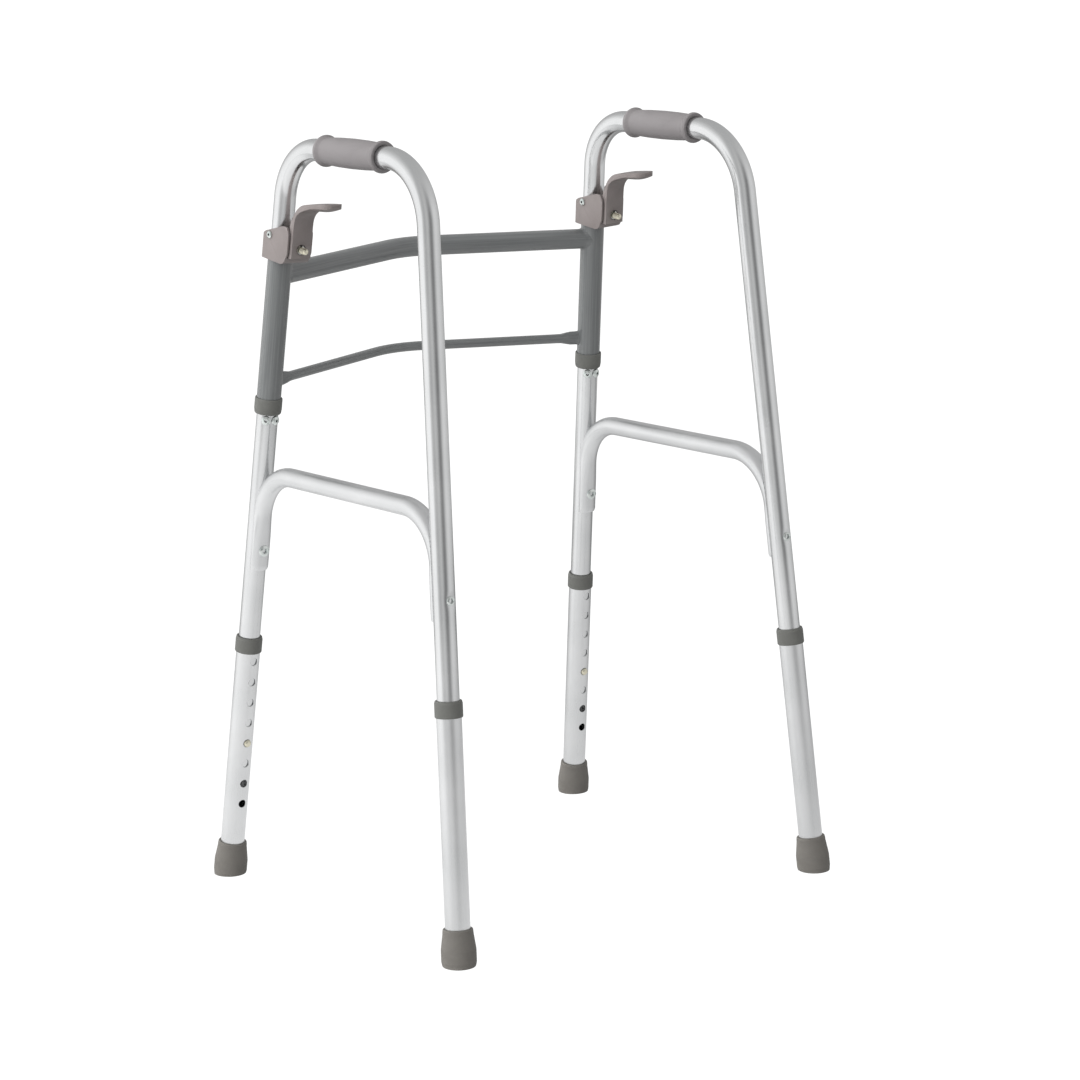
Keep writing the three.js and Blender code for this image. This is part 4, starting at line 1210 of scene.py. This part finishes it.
def assemble_side(side, sign):
    whole = SIDE[sign]
    front_leg = whole @ LEG["front"]
    pin = front_leg @ move(z=PIN_Z) @ ALONG_BACK

    def put(suffix, shape, matrix, node, sharp=38.0, between=None):
        piece(f"{side}_{suffix}", shape, matrix, f"{side}_{node}", sharp, between)

    put("tube_bent", SHAPES["tube"], whole, "frame_tube")
    grip_place = move(0, (GRIP_FRONT_Y + GRIP_REAR_Y) / 2, HANDLE_Z) @ ALONG_BACK
    put("grip_moulded", SHAPES["grip"], whole @ grip_place, "grip", 50)
    put("brace_pressed", SHAPES["brace"], whole, "brace", 50)
    for leg in LEG:
        place = whole @ LEG[leg] @ move(z=BRACE_RIVET[leg]) @ ALONG_BACK
        put(f"brace_{leg}_rivet_head", SHAPES["brace_rivet"][leg], place, f"brace_rivet_{leg}")
    for word, angle in STOP_RIVET_ANGLES.items():
        place = front_leg @ move(z=STOP_RIVET_Z) @ turn(angle * DEG, "Z") @ ALONG_BACK
        put(f"stop_rivet_{word}", SHAPES["stop_rivet"], place, f"sleeve_rivet_{word}")
    put("housing_moulded", SHAPES["housing"], front_leg, "latch_housing", 40)
    put("lever_moulded", SHAPES["lever"], front_leg, "release_lever", 40)
    put("housing_rivet_head", SHAPES["latch_rivet"],
        front_leg @ move(z=PIVOT_RIVET_Z) @ ALONG_X, "latch_rivet")
    put("pin_turned", SHAPES["pin"], pin, "lock_pin", 30)
    put("pin_clip_ring", SHAPES["clip"], pin, "lock_pin_clip", 30)
    # one end of the coil stays on the side frame, the other is pushed by the pin's flange; here
    # the coil is only baked in place and these points are not used
    give = (f"{side}_pin", pin @ Vector((0, 0, 26.8)), pin @ Vector((0, 0, 19.6)))
    put("pin_spring_coil", SHAPES["spring"], pin, "lock_spring", 60, give)
    put("sleeve_painted", SHAPES["sleeve"], front_leg, "sleeve")
    put("sleeve_collar_moulded", SHAPES["sleeve_collar"], front_leg, "sleeve_collar", 40)
    for leg in LEG:
        place = whole @ LEG[leg]
        put(f"{leg}_extension_drilled", SHAPES["extension"][leg], place,
            f"{leg}_leg_extension", 32)
        put(f"{leg}_collar_moulded", SHAPES["leg_collar"][leg], place, f"{leg}_leg_collar", 40)
        put(f"{leg}_button_turned", SHAPES["button"],
            place @ move(z=BUTTON_Z[leg]) @ TO_MID[leg], f"{leg}_snap_button")
        # the leaf's free arm is pushed in by the button, its other arm stays on the tube; here the
        # leaf is only baked in place and these points are not used
        give = (f"{side}_{leg}_button",
                place @ Vector((0, MID[leg] * -9.0, BUTTON_Z[leg])),
                place @ Vector((0, MID[leg] * 7.3, BUTTON_Z[leg])))
        put(f"{leg}_button_leaf", SHAPES["leaf"][leg], place, f"{leg}_button_spring", 30, give)
        put(f"{leg}_tip_moulded", levelled_tip(SHAPES["tip"], place), ROW, f"{leg}_tip", 40)


piece("upper_bar_painted", crossbar(UPPER_BAR, upper_section, weld=1.6), ROW,
      "upper_crossbar", 50)
piece("lower_bar_painted", crossbar(LOWER_BAR, lower_section, weld=1.0), ROW,
      "lower_crossbar", 50)
assemble_side("left", -1)
assemble_side("right", 1)

# CAD pieces still in sight get the same materials, laid out on their object coordinates
for node, obj in NODES.items():
    if not obj.hide_render:
        made = material(SLOT[node], "object")
        obj.data.materials.clear()
        obj.data.materials.append(made)

# ------------------------------------------------------------------ studio, metres
CAMERA_RIGHT = Vector((0.78388, -0.62059, -0.02005))
CAMERA_UP = Vector((0.14257, 0.14847, 0.97858))
CAMERA_FORWARD = Vector((0.60432, 0.76995, -0.20486))
CAMERA_PLACE = (-2.4185, -3.3846 + FRONT_FOOT_Y * MM, 1.2382)
FLOOR_RIGHT = (0.784, -0.621, 0)        # the camera's right and forward along the floor
FLOOR_FORWARD = (0.617, 0.787, 0)
FLOOR_RADII = (1.0, 3.0, 6.0, 12.0, 24.0, 48.0)
FLOOR_SEGMENTS = 96
FLOOR_GAP = 0.0004
centre = (cad_lo + cad_hi) / 2
scene = bpy.context.scene


def floor_material():
    """Pale paper. Camera, diffuse and glossy rays each see their own version of it."""
    mat = bpy.data.materials.new("pale_floor")
    g = Graph(mat)
    ray = g.node("LightPath").outputs
    paper = g.out("AddShader", {0: g.out("BsdfDiffuse", {"Color": (0.84, 0.84, 0.84)}),
                                1: g.out("Emission", {"Strength": 0.6})})
    dark_paper = g.out("BsdfDiffuse", {"Color": (0.42, 0.42, 0.42)})
    plain = g.out("MixShader", {0: ray["Is Camera Ray"], 1: dark_paper, 2: paper})

    # reflections see a soft-edged bright patch round the object, brighter to the camera's left
    # and dimmer beyond the object
    place = g.out("NewGeometry", output="Position")
    offset = g.out("VectorMath", {0: place, 1: (centre.x, centre.y, 0)}, operation="SUBTRACT")

    def along(direction):
        return g.out("VectorMath", {0: offset, 1: direction}, output="Value",
                     operation="DOT_PRODUCT")

    distance = g.out("VectorMath", {0: offset}, output="Value", operation="LENGTH")
    edge = g.remap(distance, take=(1.95, 2.6), give=(1.0, 0.0), interpolation_type="SMOOTHSTEP")
    shade = g.remap(along(FLOOR_RIGHT), take=(-1.1, 1.1), give=(0.98, 0.52))
    dim = g.remap(along(FLOOR_FORWARD), take=(0.15, 1.3), give=(1.0, 0.42),
                  interpolation_type="SMOOTHSTEP")
    glow = g.out("Emission", {"Strength": g.times(shade, dim)})
    patch = g.out("MixShader", {0: edge, 1: g.out("BsdfTransparent"), 2: glow})
    surface = g.out("MixShader", {0: ray["Is Glossy Ray"], 1: plain, 2: patch})
    g.node("OutputMaterial", {0: surface})
    return mat


def make_floor():
    b = Build()
    rings = [[b.add((0, 0, 0))]]
    for radius in FLOOR_RADII:
        rings.append(b.ring([(x, y, 0)
                             for x, y in arc(0, 0, radius, 0, 360, FLOOR_SEGMENTS)[:-1]]))
    b.skin(rings)
    # drawn in metres, so the scale undoes the change from millimetres
    me = b.mesh("studio_floor", Matrix.Scale(1000.0, 4), 80)
    me.flip_normals()
    floor = new_object("studio_floor", me)
    floor.location = (centre.x, centre.y, cad_lo.z - FLOOR_GAP)
    # legs set longer than at rest reach below the floor and must stay in sight
    floor.visible_camera = False
    me.materials.append(floor_material())


def make_camera():
    data = bpy.data.cameras.new("camera")
    data.sensor_width = 36.0
    data.lens = 116.17
    data.shift_x = -0.01198
    data.shift_y = -0.00394
    data.clip_start = 0.05
    data.clip_end = 120.0
    camera = new_object("camera", data)
    axes = Matrix((CAMERA_RIGHT, CAMERA_UP, -CAMERA_FORWARD)).transposed()
    camera.matrix_world = Matrix.Translation(CAMERA_PLACE) @ axes.to_4x4()
    scene.camera = camera


# Grey levels that reflections see round the horizon: (azimuth in degrees, level).
# Azimuth is seen from the object: 0 at the camera, negative to the camera's left.
HORIZON = [
    (-180, 0.40), (-145, 0.45), (-118, 0.95), (-95, 1.12), (-68, 1.12), (-52, 0.55),
    (-32, 0.36), (-12, 0.62), (6, 0.40), (20, 0.17), (36, 0.21), (54, 0.64), (75, 0.74),
    (105, 0.62), (140, 0.5), (180, 0.40)]


def make_world():
    """White to the camera, banded for reflections, brighter from the left for diffuse light."""
    world = bpy.data.worlds.new("studio")
    scene.world = world
    g = Graph(world)
    ray = g.node("LightPath").outputs
    # turned so that the camera looks along +Y
    heading = math.atan2(CAMERA_FORWARD.x, CAMERA_FORWARD.y)
    direction = g.out("VectorRotate", {"Vector": g.out("TexCoord", output="Generated"),
                                       "Angle": heading}, rotation_type="Z_AXIS")
    axis = g.node("SeparateXYZ", {0: direction}).outputs

    azimuth = g.math("ARCTAN2", axis["X"], g.times(axis["Y"], -1.0))
    ramp = g.node("ValToRGB", {0: g.remap(azimuth, take=(-math.pi, math.pi))})
    ramp.color_ramp.interpolation = "B_SPLINE"
    elements = ramp.color_ramp.elements
    for degrees, _ in HORIZON[1:-1]:
        elements.new((degrees + 180) / 360)
    for element, (_, level) in zip(elements, HORIZON):
        element.color = (level, level, level, 1)
    reflected = g.mix(g.remap(axis["Z"], take=(0.30, 0.92)),
                      under=ramp.outputs[0], over=(0.46, 0.46, 0.46))

    side = g.remap(axis["X"], take=(-1.0, 1.0), give=(2.85, 0.22))
    top = g.remap(axis["Z"], take=(0.1, 1.0), give=(1.0, 0.55))
    seen = g.mix(ray["Is Camera Ray"], under=g.times(side, top), over=(1.1, 1.1, 1.1))
    colour = g.mix(ray["Is Glossy Ray"], under=seen, over=reflected)
    g.node("OutputWorld", {0: g.out("Background", {"Color": colour})})


def make_key_light():
    data = bpy.data.lights.new("key", "AREA")
    data.shape = "RECTANGLE"
    data.size = 2.6
    data.size_y = 2.2
    data.energy = 46
    key = new_object("key", data)
    place, target = Vector((-3.6, 0.4, 2.2)), Vector((0, 0, 0.45))
    key.location = place
    key.rotation_mode = "QUATERNION"
    key.rotation_quaternion = (target - place).to_track_quat("-Z", "Y")
    key.visible_glossy = False


make_floor()
make_camera()
make_world()
make_key_light()
scene.view_settings.view_transform = "Standard"
scene.view_settings.look = "None"
scene.view_settings.exposure = 0.0
